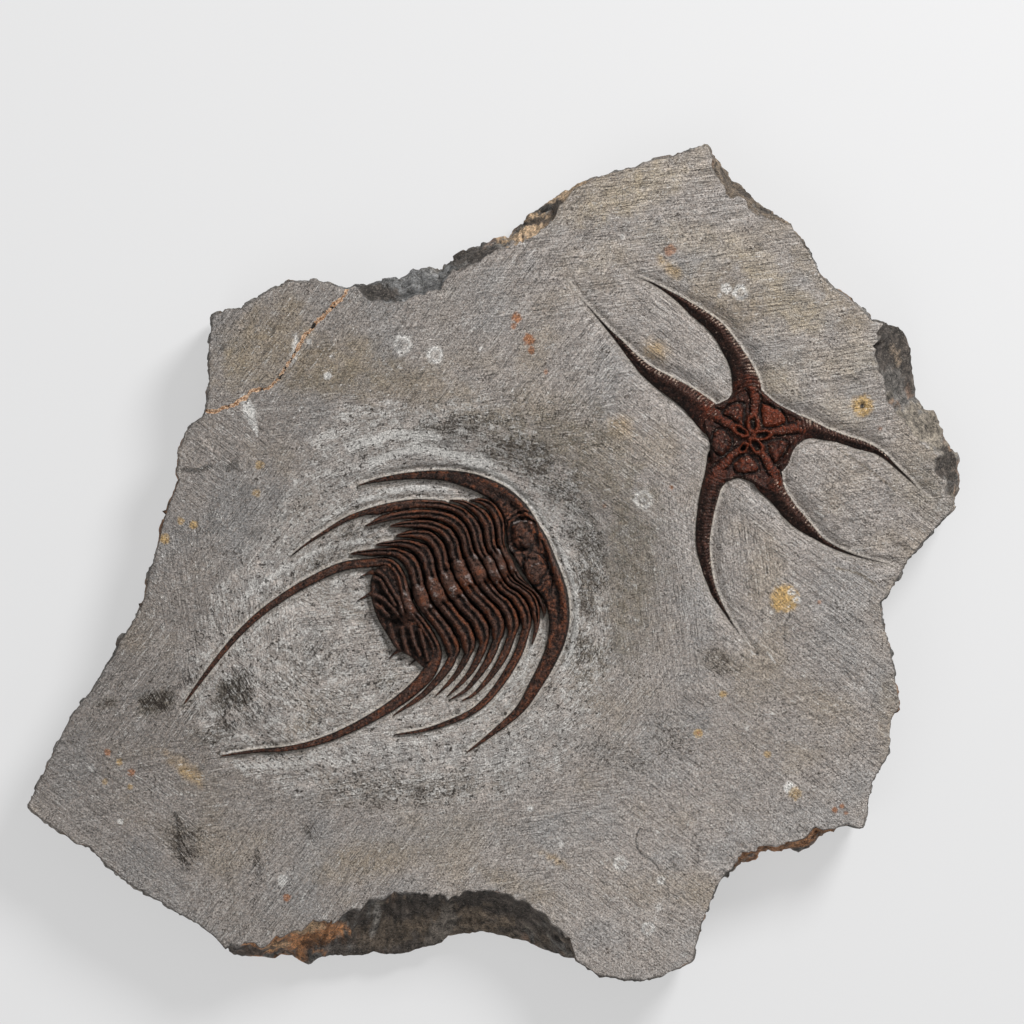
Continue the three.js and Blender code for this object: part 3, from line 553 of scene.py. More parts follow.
def trilobite_footprint():
    """Samples that cover the trilobite: centres, and the reach that each covers."""
    centres, reaches = footprint_of(SEGMENTS + [RIB])
    outer = HEAD_PAIRS[::2, :2]
    inner = HEAD_PAIRS[::2, 2:]
    width = np.hypot(*(inner - outer).T)
    for share in (0.0, 0.25, 0.5, 0.75, 1.0):
        edge = min(share, 1 - share)
        step = np.minimum(width * 0.5, np.maximum(width * edge, 0.3))
        centres = np.vstack([centres, mixed(outer, inner, share)])
        reaches = np.concatenate([reaches, np.where(edge > 0, step, 0.05)])
    margin = smooth_line(FAN_MARGIN, 0.9)
    fan_middle = np.array([-30.0, -16.0])
    for share in (0.02, 0.25, 0.5, 0.75):
        centres = np.vstack([centres, mixed(margin, fan_middle, share)])
        reaches = np.concatenate([reaches, np.full(len(margin), max(0.1, 10 * share))])
    return centres, np.minimum(reaches, 3.0)


def star_footprint():
    """Samples that cover the star: centres, and the reach that each covers."""
    centres, reaches = footprint_of(ARMS)
    disc_reach = 11.5
    rim = mixed(DISC_EDGE, np.array(STAR_CENTRE), 0.12)
    centres = np.vstack([centres, [STAR_CENTRE], rim])
    return centres, np.concatenate([reaches, [disc_reach], np.full(len(rim), 1.4)])


DISC_EDGE = smooth_line(DISC_MARGIN + DISC_MARGIN[:1], 0.8)[:-1]
TRILOBITE_CENTRES, TRILOBITE_REACHES = trilobite_footprint()
STAR_CENTRES, STAR_REACHES = star_footprint()


def facing_light(vectors):
    """How far each direction points to the side that the light comes from, -1 to 1."""
    return vectors @ LIGHT_SIDE / np.maximum(np.linalg.norm(vectors, axis=1), 1e-6)


def around_fossils(x, y):
    """Distances outside the trilobite and the star, how far each lies towards the light,
    and how wide the star is there."""
    points = np.column_stack([x, y])
    near, trilobite = nearest(points, TRILOBITE_CENTRES, TRILOBITE_REACHES)
    near_star, star = nearest(points, STAR_CENTRES, STAR_REACHES)
    lit = facing_light(points - TRILOBITE_CENTRES[near])
    lit_star = facing_light(points - STAR_CENTRES[near_star])
    return trilobite, star, lit, lit_star, STAR_REACHES[near_star]


# ------------------------------------------------------------------ heights

def smooth_face(x, y):
    """The face without its small relief: the level that the fossils are set on."""
    swell = np.sin(x / 41 + 0.6) * np.cos(y / 37 - 0.4)
    distance = ellipse_distance(x, y, HOLLOW_CENTRE, HOLLOW_RADII)
    angle = np.arctan2(y - HOLLOW_CENTRE[1], x - HOLLOW_CENTRE[0])
    steep = smoothstep(np.cos(angle - math.radians(HOLLOW_STEEP_SIDE)), 0.0, 0.95)
    flat = HOLLOW_FLAT + 0.28 * steep
    hollow = HOLLOW_DEPTH * (1 - smoothstep(distance, flat, 1.0 + 0.13 * steep))
    return FACE_HEIGHT + FACE_SWELL * swell - hollow


def star_ground(x, y):
    """The level that the star is set on, at the foot of its groove."""
    return smooth_face(x, y) - GROOVE_DEPTH


def distance_to_axis(x, y):
    """Distance to the middle line of the trilobite's body."""
    (ax, ay), (bx, by) = AXIS
    share = ((x - ax) * (bx - ax) + (y - ay) * (by - ay)) / ((bx - ax) ** 2 + (by - ay) ** 2)
    share = np.clip(share, 0, 1)
    return np.hypot(x - ax - share * (bx - ax), y - ay - share * (by - ay))


def body_rise(x, y):
    """How far the trilobite's body stands above its spines."""
    body = 1 - smoothstep(ellipse_distance(x, y, BODY_CENTRE, BODY_RADII), 0.55, 1.1)
    axis = bump(distance_to_axis(x, y), AXIS_HALF_WIDTH)
    return 2.2 * body + 2.0 * axis


def chalk_share(x, y):
    """1 in the rough-cut, dusted ground round the trilobite, 0 outside it."""
    flat = np.column_stack([x, y])
    gap = polygon_gap(flat, CHALK_EDGE, 1.5)
    ragged = 4.5 * fractal(flat / 13, 151, 3, 0.6) + 1.6 * fractal(flat / 3.5, 155, 3, 0.6)
    return 1 - smoothstep(gap + ragged, -0.8, 1.2)


def sweep_place(x, y):
    """Places round the hollow: along the sweep, across it, and how strongly it shows."""
    dx = x - HOLLOW_CENTRE[0]
    dy = (y - HOLLOW_CENTRE[1]) * HOLLOW_RADII[0] / HOLLOW_RADII[1]
    radius = np.hypot(dx, dy)
    # the sweep starts and ends on the tail's side, where it fades out
    angle = np.arctan2(dy, -dx)
    angle = np.where(angle < -0.1, angle + 2 * math.pi, angle)
    fade = smoothstep(angle, -0.1, 0.15) * (1 - smoothstep(angle, 6.0, 6.18))
    strength = fade * smoothstep(radius, 28, 45) * (1 - smoothstep(radius, 88, 104))
    # it is plainest from the tail's far side round over the head
    strength *= mixed(0.35, 1.0, smoothstep(angle, 0.3, 1.0) * (1 - smoothstep(angle, 4.1, 4.9)))
    mean_radius = 62
    return angle * mean_radius, radius, strength


# Holes and hollows on the face: x, y, radius, depth.
PITS = [
    (134.1, 57.3, 0.9, 1.3), (134.1, 57.3, 4.2, 0.35), (105.7, -13.1, 5.4, -0.25),
    (95.8, -33.0, 0.6, 0.8), (-33.4, 76.0, 3.2, -0.2), (54.0, 23.0, 3.6, 0.3),
    (107.5, -81.8, 2.2, -0.2), (88.0, 97.0, 2.4, 0.2),
]


def rock_face(x, y, around):
    """The face's height, with its relief."""
    trilobite, star, lit, lit_star, size = around
    flat = np.column_stack([x, y])
    height = smooth_face(x, y)
    height += 0.30 * fractal(flat / 16, 11, 3) + 0.10 * fractal(flat / 4.5, 21, 3)
    # round the trilobite the cutting left low ridges that sweep about the hollow
    chalk = chalk_share(x, y)
    along, across, strength = sweep_place(x, y)
    swept_ridges = fractal(np.column_stack([along / 17, across / 3.6]), 161, 3, 0.55)
    lumps = fractal(flat / 5.5, 165, 3, 0.6)
    height += chalk * (0.42 * strength * swept_ridges + 0.28 * lumps - 0.25)
    # a shallow channel is worked along each spine, with a thin lip left on the lit side
    ragged = 0.35 * fractal(flat / 2.6, 171, 3, 0.6)
    channel = 0.6 * bump(trilobite + ragged - 1.1, 0.9)
    lip = 0.5 * bump(trilobite - 0.1, 0.5) * np.clip(lit + ragged, 0, 1)
    shoulder = 0.25 * bump(trilobite + ragged - 3.2, 1.3)
    height += lip + shoulder - channel
    height -= np.where(trilobite < 0, np.minimum(-trilobite, 1.0) * 1.2, 0)
    # each arm of the star lies in a groove, deeper where the arm is wide
    depth = GROOVE_DEPTH * np.clip(0.25 + size / 3.0, 0, 1)
    bank = 1 - smoothstep(star, 0.2, GROOVE_BANK * mixed(0.45, 1.0, np.clip(size / 3, 0, 1)))
    height -= depth * bank
    thin = mixed(0.45, 1.0, np.clip(size / 2.5, 0, 1))
    height += 0.5 * thin * bump(star + 0.1, 0.5) * np.clip(lit_star + ragged, 0, 1)
    height -= np.where(star < 0, np.minimum(-star, 1.5) * 0.9, 0)
    # pits and shallow pecks
    pecks = fractal(flat / 1.9, 31, 2)
    height -= mixed(0.12, 0.30, chalk) * smoothstep(pecks, 0.45, 0.95)
    for px, py, radius, deep in PITS:
        height -= deep * bump(np.hypot(x - px, y - py), radius)
    return height


# ------------------------------------------------------------------ the slab's edge

def read_edge():
    """The plate's outline and the lean of its edge, read off the frame's two stones: the
    waist's radius at each angle, and how far the face's brink lies inside it."""
    corners = []
    faces = []
    for name in ("matrix_slab", "corner_fragment"):
        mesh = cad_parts[name].data
        first = len(corners)
        corners += [tuple(vertex.co) for vertex in mesh.vertices]
        faces += [tuple(first + i for i in polygon.vertices) for polygon in mesh.polygons]
    tree = BVHTree.FromPolygons(corners, faces)
    angles = np.linspace(-math.pi, math.pi, 2880, endpoint=False)
    waist = np.empty(len(angles))
    upper = np.empty(len(angles))
    climb = 7.0  # from the level where the waist is read to that of the upper reading
    for level, radii in ((WAIST_HEIGHT, waist), (WAIST_HEIGHT + climb, upper)):
        for i, angle in enumerate(angles):
            out = Vector((math.cos(angle), math.sin(angle), 0))
            start = out * 0.4 + Vector((0, 0, level * MM))
            hit = tree.ray_cast(start, -out)[0]
            radii[i] = math.hypot(hit.x, hit.y) / MM
    for radii in (waist, upper):
        sides = np.stack([np.roll(radii, 1), radii, np.roll(radii, -1)])
        radii[:] = np.median(sides, axis=0)
    inset = np.maximum(0, waist - upper) * (FACE_HEIGHT - WAIST_HEIGHT) / climb
    return angles, waist, inset


EDGE_ANGLES, EDGE_WAIST, EDGE_INSET = read_edge()


def edge_columns():
    """Angles evenly spaced along the outline, with the waist's radius and the face's inset."""
    ring = np.column_stack([EDGE_WAIST * np.cos(EDGE_ANGLES), EDGE_WAIST * np.sin(EDGE_ANGLES)])
    closed = np.vstack([ring, ring[:1]])
    run = running_length(closed)
    count = int(run[-1] / COLUMN_SPACING)
    at = np.arange(count) * run[-1] / count
    x = np.interp(at, run, closed[:, 0])
    y = np.interp(at, run, closed[:, 1])
    angle = np.arctan2(y, x)
    waist = np.hypot(x, y)
    inset = round_lookup(angle, EDGE_ANGLES, EDGE_INSET)
    # where nothing has chipped off, the face runs almost to the outline
    inset = inset - 0.65 * (1 - smoothstep(inset, 1.3, 3.0))
    return angle, waist, inset, x, y


ANGLE, WAIST, INSET, WAIST_X, WAIST_Y = edge_columns()


def wall_columns():
    """Each column of the broken edge, from the face's brink down to the back."""
    ring = solid_points(WAIST_X, WAIST_Y)
    chip = smoothstep(INSET, 1.5, 5.0)
    waist = WAIST + 0.4 * fractal(ring / 5.0, 41, 4, 0.65)
    inset = INSET + chip * (0.42 * fractal(ring / 2.2, 51, 3, 0.7) + 0.35 * noise(ring / 6, 55))
    inset = np.maximum(0.35, inset)
    brink = waist - inset
    waist_level = WAIST_HEIGHT + 2.5 * fractal(ring / 30, 61, 2) - 2.5 * chip
    foot_inset = FOOT_INSET + 0.6 * fractal(ring / 9, 71, 3)
    back_inset = BACK_INSET + 1.0 * fractal(ring / 7, 81, 3)
    rows = []

    def add_row(radius, level):
        """Adds one point to every column."""
        rows.append(solid_points(radius * np.cos(ANGLE), radius * np.sin(ANGLE), level))

    top = smooth_face(brink * np.cos(ANGLE), brink * np.sin(ANGLE))
    # a wide scar is scooped: steep under its brink, then flatter
    scoop = mixed(1.0, 0.62, smoothstep(INSET, 6.0, 16.0))
    for share in [0.0, 0.02, *np.linspace(0.08, 1.0, WALL_ROWS - 2)]:
        add_row(brink + inset * share, top - (top - waist_level) * share ** scoop)
    for share in (0.16, 0.33, 0.5, 0.67, 0.84, 1.0):
        add_row(waist - foot_inset * share ** 1.6, mixed(waist_level, FOOT_HEIGHT, share))
    for share in (0.5, 1.0):
        add_row(waist - mixed(foot_inset, back_inset, share), FOOT_HEIGHT * (1 - share) ** 0.8)
    return roughened(np.stack(rows, axis=1), chip)


def bedding(points):
    """The mudstone's thin beds, seen on a broken edge: about -1 to 1."""
    tilted = points[:, 2] + 0.02 * points[:, 0] + 0.6 * noise(points / 16, 611)
    beds = np.column_stack([points[:, 0] / 55, points[:, 1] / 55, tilted / 2.4])
    return np.clip(1.5 * noise(beds, 613) + 0.6 * noise(beds * [1.7, 1.7, 2.6], 614), -1, 1)


def roughened(grid, chip):
    """Breaks the wall into facets and ledges, leaving its brink and its back edge alone."""
    down = np.gradient(grid, axis=1)
    across = np.roll(grid, -1, axis=0) - np.roll(grid, 1, axis=0)
    normal = np.cross(across, down)
    normal /= np.maximum(np.linalg.norm(normal, axis=2), 1e-9)[..., None]
    normal *= np.sign(np.sum(normal[..., :2] * grid[..., :2], axis=2))[..., None]
    flat = grid.reshape(-1, 3)
    below = np.abs(grid - grid[:, :1]).sum(axis=2).reshape(-1)
    ramp = smoothstep(below, 0.1, 2.5)
    last = grid.shape[1] - 1
    row = np.tile(np.arange(last + 1), len(grid))
    ramp = ramp * (row < last - 1) + 0.3 * ramp * (row == last - 1)
    ramp = ramp * (row > 0)
    chipped = np.repeat(chip, last + 1)
    stretched = flat * np.array([1, 1, 1.7])
    push = 1.15 * facets(stretched / 6.5, 91, 0.9) + 0.6 * facets(stretched / 2.8, 95, 0.8)
    push += 0.25 * fractal(flat / 2.0, 99, 3, 0.6)
    # the beds break back to different depths
    push += 0.75 * bedding(flat)
    # wide scars are smoother, with rings spreading from where the blow fell
    blow = np.array([-22.0, -112.0, 30.0])
    rings = np.sin(np.linalg.norm(flat - blow, axis=1) / 1.55 + 1.2 * noise(flat / 9, 103))
    smooth_push = 0.30 * rings + 0.55 * fractal(flat / 7.0, 107, 4, 0.6)
    smooth_push += 0.5 * facets(flat / 4.5, 109, 0.8)
    wide = np.repeat(smoothstep(INSET, 9.0, 18.0), last + 1)
    push = mixed(push * mixed(0.8, 0.95, chipped), smooth_push, wide)
    shifted = flat + normal.reshape(-1, 3) * (push * ramp)[:, None]
    shifted[:, 2] = np.maximum(shifted[:, 2], 0.0)
    return shifted.reshape(grid.shape)


WALL = wall_columns()
BRINK = WALL[:, 0, :2]


def inside_brink(x, y):
    """How far each point is from the face's brink, measured towards the middle."""
    angles = np.arctan2(BRINK[:, 1], BRINK[:, 0])
    reach = round_lookup(np.arctan2(y, x), angles, np.hypot(*BRINK.T))
    return reach - np.hypot(x, y)


# ------------------------------------------------------------------ the crack

def crack_line():
    """The crack's line on the face, made ragged."""
    line = smooth_line(CRACK, 0.7)
    flat = solid_points(line[:, 0], line[:, 1])
    sideways = 0.55 * fractal(flat / 3.0, 121, 3, 0.6)
    return line + left_normals(line) * sideways[:, None]


def crack_columns(crack, start, end):
    """The crack's wall, sharing its first and last columns with the outer wall."""
    middle = crack[inside_brink(*crack.T) > 0.8]
    rows = WALL.shape[1]
    run = running_length(middle)
    to_start = np.exp(-run / 3.0)
    to_end = np.exp(-(run[-1] - run) / 3.0)
    first = WALL[start]
    last = WALL[end]
    height_share = first[:, 2] / first[0, 2]
    top = smooth_face(middle[:, 0], middle[:, 1])
    columns = np.empty((len(middle), rows, 3))
    for row in range(rows):
        shift = (
            to_start[:, None] * (first[row, :2] - first[0, :2])
            + to_end[:, None] * (last[row, :2] - last[0, :2]))
        columns[:, row, :2] = middle + shift
        columns[:, row, 2] = top * height_share[row]
    inner = columns[:, 1:-1].reshape(-1, 3)
    wander = 0.5 * fractal(inner / 4.0, 131, 3)
    normal = np.repeat(left_normals(middle), rows - 2, axis=0)
    columns[:, 1:-1, :2] += (normal * wander[:, None]).reshape(len(middle), rows - 2, 2)
    return columns


CRACK_LINE = crack_line()


def crossing_column(near_point):
    """The wall column nearest to where the crack meets the outline."""
    to_point = np.hypot(*(CRACK_LINE - np.array(near_point)).T)
    spot = CRACK_LINE[(np.abs(inside_brink(*CRACK_LINE.T)) + 0.2 * to_point).argmin()]
    return int(np.hypot(*(BRINK - spot).T).argmin())


LEFT_END = crossing_column((-106, 56))
NOTCH_END = crossing_column((-54, 100))


def stone_loops():
    """The slab's and the corner's closed loops of columns, counter-clockwise."""
    count = len(WALL)
    crack = crack_columns(CRACK_LINE, LEFT_END, NOTCH_END)
    gap = left_normals(crack[:, 0, :2])[:, None] * CRACK_GAP
    loops = []
    for start, end, side in ((LEFT_END, NOTCH_END, -1), (NOTCH_END, LEFT_END, 1)):
        ring = np.arange(start, end + (count if end < start else 0) + 1) % count
        wall = crack.copy()
        wall[..., :2] += side * gap
        loops.append(np.concatenate([WALL[ring], wall[::side]]))
    return loops


# ------------------------------------------------------------------ meshes

def make_object(name, points, faces):
    """A smooth-shaded mesh in the scene, from points in millimetres."""
    mesh = bpy.data.meshes.new(name)
    mesh.from_pydata((np.asarray(points) * MM).tolist(), [], [tuple(f) for f in faces])
    mesh.validate()
    mesh.update()
    mesh.polygons.foreach_set("use_smooth", [True] * len(mesh.polygons))
    thing = bpy.data.objects.new(name, mesh)
    bpy.context.scene.collection.objects.link(thing)
    return thing


def set_colours(thing, name, values):
    """Stores a colour or a set of measures with the points, for the materials to read."""
    attribute = thing.data.attributes.new(name, "FLOAT_COLOR", "POINT")
    rows = np.ones((len(values), 4), np.float32)
    rows[:, :values.shape[1]] = values
    attribute.data.foreach_set("color", rows.ravel())


def grid_faces(columns, rows, closed=False):
    """Quads of a grid stored column by column."""
    faces = []
    for i in range(columns if closed else columns - 1):
        a = i * rows
        b = ((i + 1) % columns) * rows
        for j in range(rows - 1):
            faces.append((a + j, a + j + 1, b + j + 1, b + j))
    return faces


def mark_places():
    """Where the face carries small marks, and how far round each it needs fine points."""
    places = [(x, y, radius + 0.9) for x, y, radius, *_ in SPECKS]
    places += [(x, y, radius + 1.2) for x, y, radius, _ in RINGS]
    for points, half, *_ in STREAKS:
        places += [(x, y, half + 0.8) for x, y, *_ in smooth_line(points, 0.8)]
    return places


def face_points(inside_test):
    """Points for the face's triangles, close together where there is detail."""
    xs = np.arange(-FACE_GRID[0], FACE_GRID[0], FINE_CELL)
    ys = np.arange(-FACE_GRID[1], FACE_GRID[1], FINE_CELL * 0.87)
    column, row = (a.ravel() for a in np.meshgrid(np.arange(len(xs)), np.arange(len(ys))))
    x = xs[column] + 0.5 * FINE_CELL * (row % 2)
    y = ys[row]
    kept = inside_test(x, y)
    x, y, column, row = x[kept], y[kept], column[kept], row[kept]
    # distances are worked out on every fourth point each way, then looked up
    sparse = (column % 4 == 0) & (row % 4 == 0)
    trilobite, star = around_fossils(x[sparse], y[sparse])[:2]
    to_crack = nearest(np.column_stack([x, y])[sparse], CRACK_LINE)[1]
    tables = np.full((2, row.max() // 4 + 2, column.max() // 4 + 2), 99.0)
    tables[:, row[sparse] // 4, column[sparse] // 4] = [np.minimum(trilobite, star), to_crack]
    fossil_gap, crack_gap = tables[:, row // 4, column // 4]
    to_brink = inside_brink(x, y)
    # the step is how many cells apart the points stand: 4, 2 or 1
    step = np.full(len(x), 4)
    step[(fossil_gap < 3.2) | (to_brink < 2.2) | (crack_gap < 3.5)] = 2
    step[(fossil_gap < 1.5) | (crack_gap < 1.8)] = 1
    for cx, cy, radius in mark_places():
        close = np.flatnonzero((np.abs(x - cx) < radius) & (np.abs(y - cy) < radius))
        step[close] = np.minimum(step[close], 2 if radius > 4 else 1)
    step[fossil_gap < -1.9] = 4
    chosen = step == 1
    chosen |= (step <= 2) & (row % 2 == 0) & ((column - row // 2) % 2 == 0)
    chosen |= (row % 4 == 0) & ((column - 2 * (row // 4 % 2)) % 4 == 0)
    x, y = x[chosen], y[chosen]
    wobble = np.column_stack([x, y]) * 1.9
    return x + 0.12 * noise(wobble, 141), y + 0.12 * noise(wobble, 142)


def filled(loop, x, y):
    """Triangles that fill a closed loop through the given inner points."""
    count = len(loop)
    points = [Vector(p) for p in loop.tolist()] + [Vector(p) for p in zip(x.tolist(), y.tolist())]
    result = delaunay_2d_cdt(points, [], [list(range(count))], 1, 1e-7, True)
    vertices = np.array([tuple(v) for v in result[0]])
    triangles = np.array([tuple(t) for t in result[2]])
    origins = result[3]
    # triangles that bridge a bay of the loop are left out
    on_loop = np.array([min(sources) < count for sources in origins])
    bridging = np.flatnonzero(on_loop[triangles].all(axis=1))
    middles = vertices[triangles[bridging]].mean(axis=1)
    outside = bridging[~inside_loop(middles[:, 0], middles[:, 1], loop)]
    triangles = np.delete(triangles, outside, axis=0)
    return vertices, triangles, origins


def face_rim(count, origins):
    """For each column of a loop, the point of the filled face that stands on it."""
    rim = np.full(count, -1)
    for index, sources in enumerate(origins):
        for source in sources:
            if source < count:
                rim[source] = index
    return rim


def wall_faces(count, rows, rim, first):
    """The wall's quads. Its top row is the face's rim; its own points begin at first."""
    faces = []
    for i in range(count):
        j = (i + 1) % count
        for row in range(rows - 1):
            a = rim[i] if row == 0 else first + i * rows + row
            b = rim[j] if row == 0 else first + j * rows + row
            faces.append((a, first + i * rows + row + 1, first + j * rows + row + 1, b))
    return faces


def back_face(edge, edge_numbers, first):
    """The nearly flat back's inner points, numbered from first, and its triangles."""
    flat, triangles, origins = filled(edge, *back_points(edge))
    numbers = np.empty(len(flat), int)
    inner = []
    for index, sources in enumerate(origins):
        on_edge = [source for source in sources if source < len(edge)]
        if on_edge:
            numbers[index] = edge_numbers[on_edge[0]]
        else:
            numbers[index] = first + len(inner)
            inner.append(index)
    x, y = flat[inner].T
    level = 0.35 + 0.35 * fractal(solid_points(x, y) / 12, 151, 4)
    return solid_points(x, y, np.clip(level, 0, None)), [tuple(numbers[t[::-1]]) for t in triangles]


def back_points(edge):
    """Points for the back, evenly spaced."""
    x, y = np.meshgrid(*(np.arange(-half, half, BACK_CELL) for half in BACK_GRID))
    x, y = x.ravel(), y.ravel()
    keep = inside_loop(x, y, edge) & (nearest(np.column_stack([x, y]), edge)[1] > 2.5)
    return x[keep], y[keep]


def build_stone(name, loop, inner_test):
    """One stone: its face, its wall of columns and its back, as one closed mesh."""
    count, rows = loop.shape[:2]
    x, y = face_points(inner_test)
    edge = loop[:, 0, :2]
    dense_edge = respaced(np.vstack([edge, edge[:1]]), 0.2)
    keep = nearest(np.column_stack([x, y]), dense_edge)[1] > RIM_ROOM
    flat, triangles, origins = filled(edge, x[keep], y[keep])
    around = around_fossils(*flat.T)
    heights = rock_face(*flat.T, around)
    # the wall hangs from the face's rim, and takes up its height over the first few rows
    rim = face_rim(count, origins)
    wall = loop.copy()
    lift = heights[rim] - wall[:, 0, 2]
    wall[:, :, 2] += lift[:, None] * np.clip(1 - np.arange(rows) / 6.0, 0, 1)
    wall[:, 0, :2] = flat[rim]
    points = np.vstack([np.column_stack([flat, heights]), wall.reshape(-1, 3)])
    faces = [tuple(t) for t in triangles] + wall_faces(count, rows, rim, len(flat))
    edge_numbers = len(flat) + np.arange(1, count + 1) * rows - 1
    inner, back_faces = back_face(wall[:, -1, :2], edge_numbers, len(points))
    points = np.vstack([points, inner])
    faces += back_faces
    # the wall's unused first row is dropped
    used = np.zeros(len(points), bool)
    used[np.array([i for f in faces for i in f])] = True
    number = np.cumsum(used) - 1
    faces = [tuple(int(number[i]) for i in f) for f in faces]
    thing = make_object(name, points[used], faces)
    part = (np.arange(len(faces)) >= len(triangles)).astype(int)
    thing.data.polygons.foreach_set("material_index", part)
    # the face's points come first, in the order of the measurements round the fossils
    kept = used[:len(flat)]
    paint_stone(thing, int(kept.sum()), tuple(values[kept] for values in around))
    return thing


# ------------------------------------------------------------------ swept fossil pieces

def relief_of(heights, along, across):
    """How far each point of a grid stands above the points round it."""
    padded = np.pad(heights, ((along, along), (across, across)), mode="edge")
    rows, columns = heights.shape
    total = np.zeros_like(heights)
    for i in range(2 * along + 1):
        for j in range(2 * across + 1):
            total += padded[i:i + rows, j:j + columns]
    return heights - total / ((2 * along + 1) * (2 * across + 1))


def closed_strip(tops, ground, window, across, run, facing):
    """A strip of top points, closed by flanks that go down into the rock. With the points and
    faces come each point's marks: its place across the strip from -1 to 1, its place along,
    how far its side faces the light, and how far it stands above its neighbours."""
    count = len(tops)
    points = np.concatenate([tops[:, :1], tops, tops[:, -1:]], axis=1)
    for edge in (0, -1):
        points[:, edge, 2] = ground(points[:, edge, 0], points[:, edge, 1]) - SINK
    rows = points.shape[1]
    faces = grid_faces(count, rows)
    for i in range(count - 1):
        faces.append((i * rows + rows - 1, i * rows, (i + 1) * rows, (i + 1) * rows + rows - 1))
    faces.append(tuple(range(rows))[::-1])
    faces.append(tuple((count - 1) * rows + k for k in range(rows)))
    marks = np.empty((count, rows, 4))
    marks[..., 0] = np.pad(across, 1, mode="edge")
    marks[..., 1] = run[:, None]
    marks[..., 2] = facing[:, None] * marks[..., 0]
    marks[..., 3] = -0.5
    marks[:, 1:-1, 3] = relief_of(tops[..., 2], *window)
    return points.reshape(-1, 3), faces, marks.reshape(-1, 4)


def swept(plan, ground, rise, across=15):
    """A closed strip along the plan's line. rise(plan, u, x, y) gives its height over the
    ground, where u runs from -1 on the right to 1 on the left."""
    line = plan["line"]
    normal = left_normals(line)
    shares = np.sin(np.linspace(-math.pi / 2, math.pi / 2, across))
    shares = np.sign(shares) * np.abs(shares) ** 0.9
    tops = np.empty((len(line), across, 3))
    for k, u in enumerate(shares):
        half = np.where(u > 0, plan["left"], plan["right"])
        xy = line + normal * (half * u)[:, None]
        tops[:, k, :2] = xy
        tops[:, k, 2] = ground(*xy.T) + rise(plan, u, *xy.T)
    return closed_strip(tops, ground, (1, across // 5), shares, plan["run"], normal @ LIGHT_SIDE)


def flipped(built):
    """The same strip with its faces turned about."""
    points, faces, marks = built
    return points, [face[::-1] for face in faces], marks


def risen(distance, width):
    """How far a rounded flank has risen at a distance from its edge, 0 to 1."""
    return 1 - (1 - np.clip(distance / width, 0, 1)) ** 2


def spine_height(plan, u):
    """A half-round bar, lower where it is thin."""
    half = (plan["left"] + plan["right"]) / 2
    return np.minimum(1.7, 0.12 + 0.92 * half) * math.sqrt(max(0.0, 1 - u * u)) ** 0.9


def ring_share(plan, knob):
    """How far along its axial ring each station of a segment is, from 0 at the knob to 1."""
    start = plan["run"][np.hypot(*(plan["line"] - np.array(knob)).T).argmin()] - 0.8
    return (plan["run"] - start) / RING_LENGTH


def pleura_profile(u, uneven):
    """Two sharp ridges with a furrow between them, falling to a deep groove at each side."""
    fore = (1.25 + 0.5 * uneven) * bump(u - 0.50, 0.22)
    aft = (1.5 - 0.5 * uneven) * bump(u + 0.36, 0.24)
    return fore + aft - 0.75 - 2.3 * np.abs(u) ** 7


def ring_relief(share, u):
    """An axial ring: a hoop with a swelling at its lower end and a dip above that."""
    hoop = 1.5 * (1 - u * u) ** 0.8 - 2.0 * abs(u) ** 6
    swelling = 1.0 * bump((share - 0.70) * RING_LENGTH, 2.0) * math.exp(-(u / 0.75) ** 2)
    dip = 0.55 * bump((share - 0.38) * RING_LENGTH, 1.1)
    return hoop + swelling - dip


def on_ring(share):
    """1 along the middle of an axial ring, 0 at its ends and beyond."""
    return np.sin(np.clip(share, 0, 1) * math.pi).clip(0, 1) ** 0.5


def segment_rise(knob, seed):
    """The rise of one thoracic segment: its axial ring, its two pleurae and its spines."""
    def rise(plan, u, x, y):
        share = ring_share(plan, knob)
        ring = on_ring(share)
        ends = bump((share + 0.05) * RING_LENGTH, 0.8) + bump((share - 1.05) * RING_LENGTH, 0.9)
        place = solid_points(x, y, seed)
        rough = fractal(place / 1.5, seed, 4, 0.65)
        uneven = noise(place / 3.3, seed + 60)
        lumps = noise(place / 2.9, seed + 40)
        wandered = u + 0.15 * noise(place / 3.7, seed + 80)
        knob_bump = 1.8 * bump(np.hypot(x - knob[0], y - knob[1]) + 0.6 * lumps, 1.4)
        thick = np.clip((plan["left"] + plan["right"]) / 2.6, 0.15, 1)
        ridges = pleura_profile(wandered, uneven) * thick
        body = (
            1.5 * thick + body_rise(x, y) + mixed(ridges, ring_relief(share, u), ring)
            + 0.8 * ring * (1.0 - 0.5 * share) - 1.0 * ends + knob_bump
            + 0.30 * rough + mixed(0.2, 0.9, ring) * lumps - 0.3 * u)
        spine = spine_height(plan, u) + 0.5 * body_rise(x, y) + 0.14 * rough
        crest = 0.3 * bump(wandered - 0.45, 0.28) * smoothstep(plan["left"], 0.9, 1.5)
        return mixed(spine + crest, body, plan["body"])
    return rise


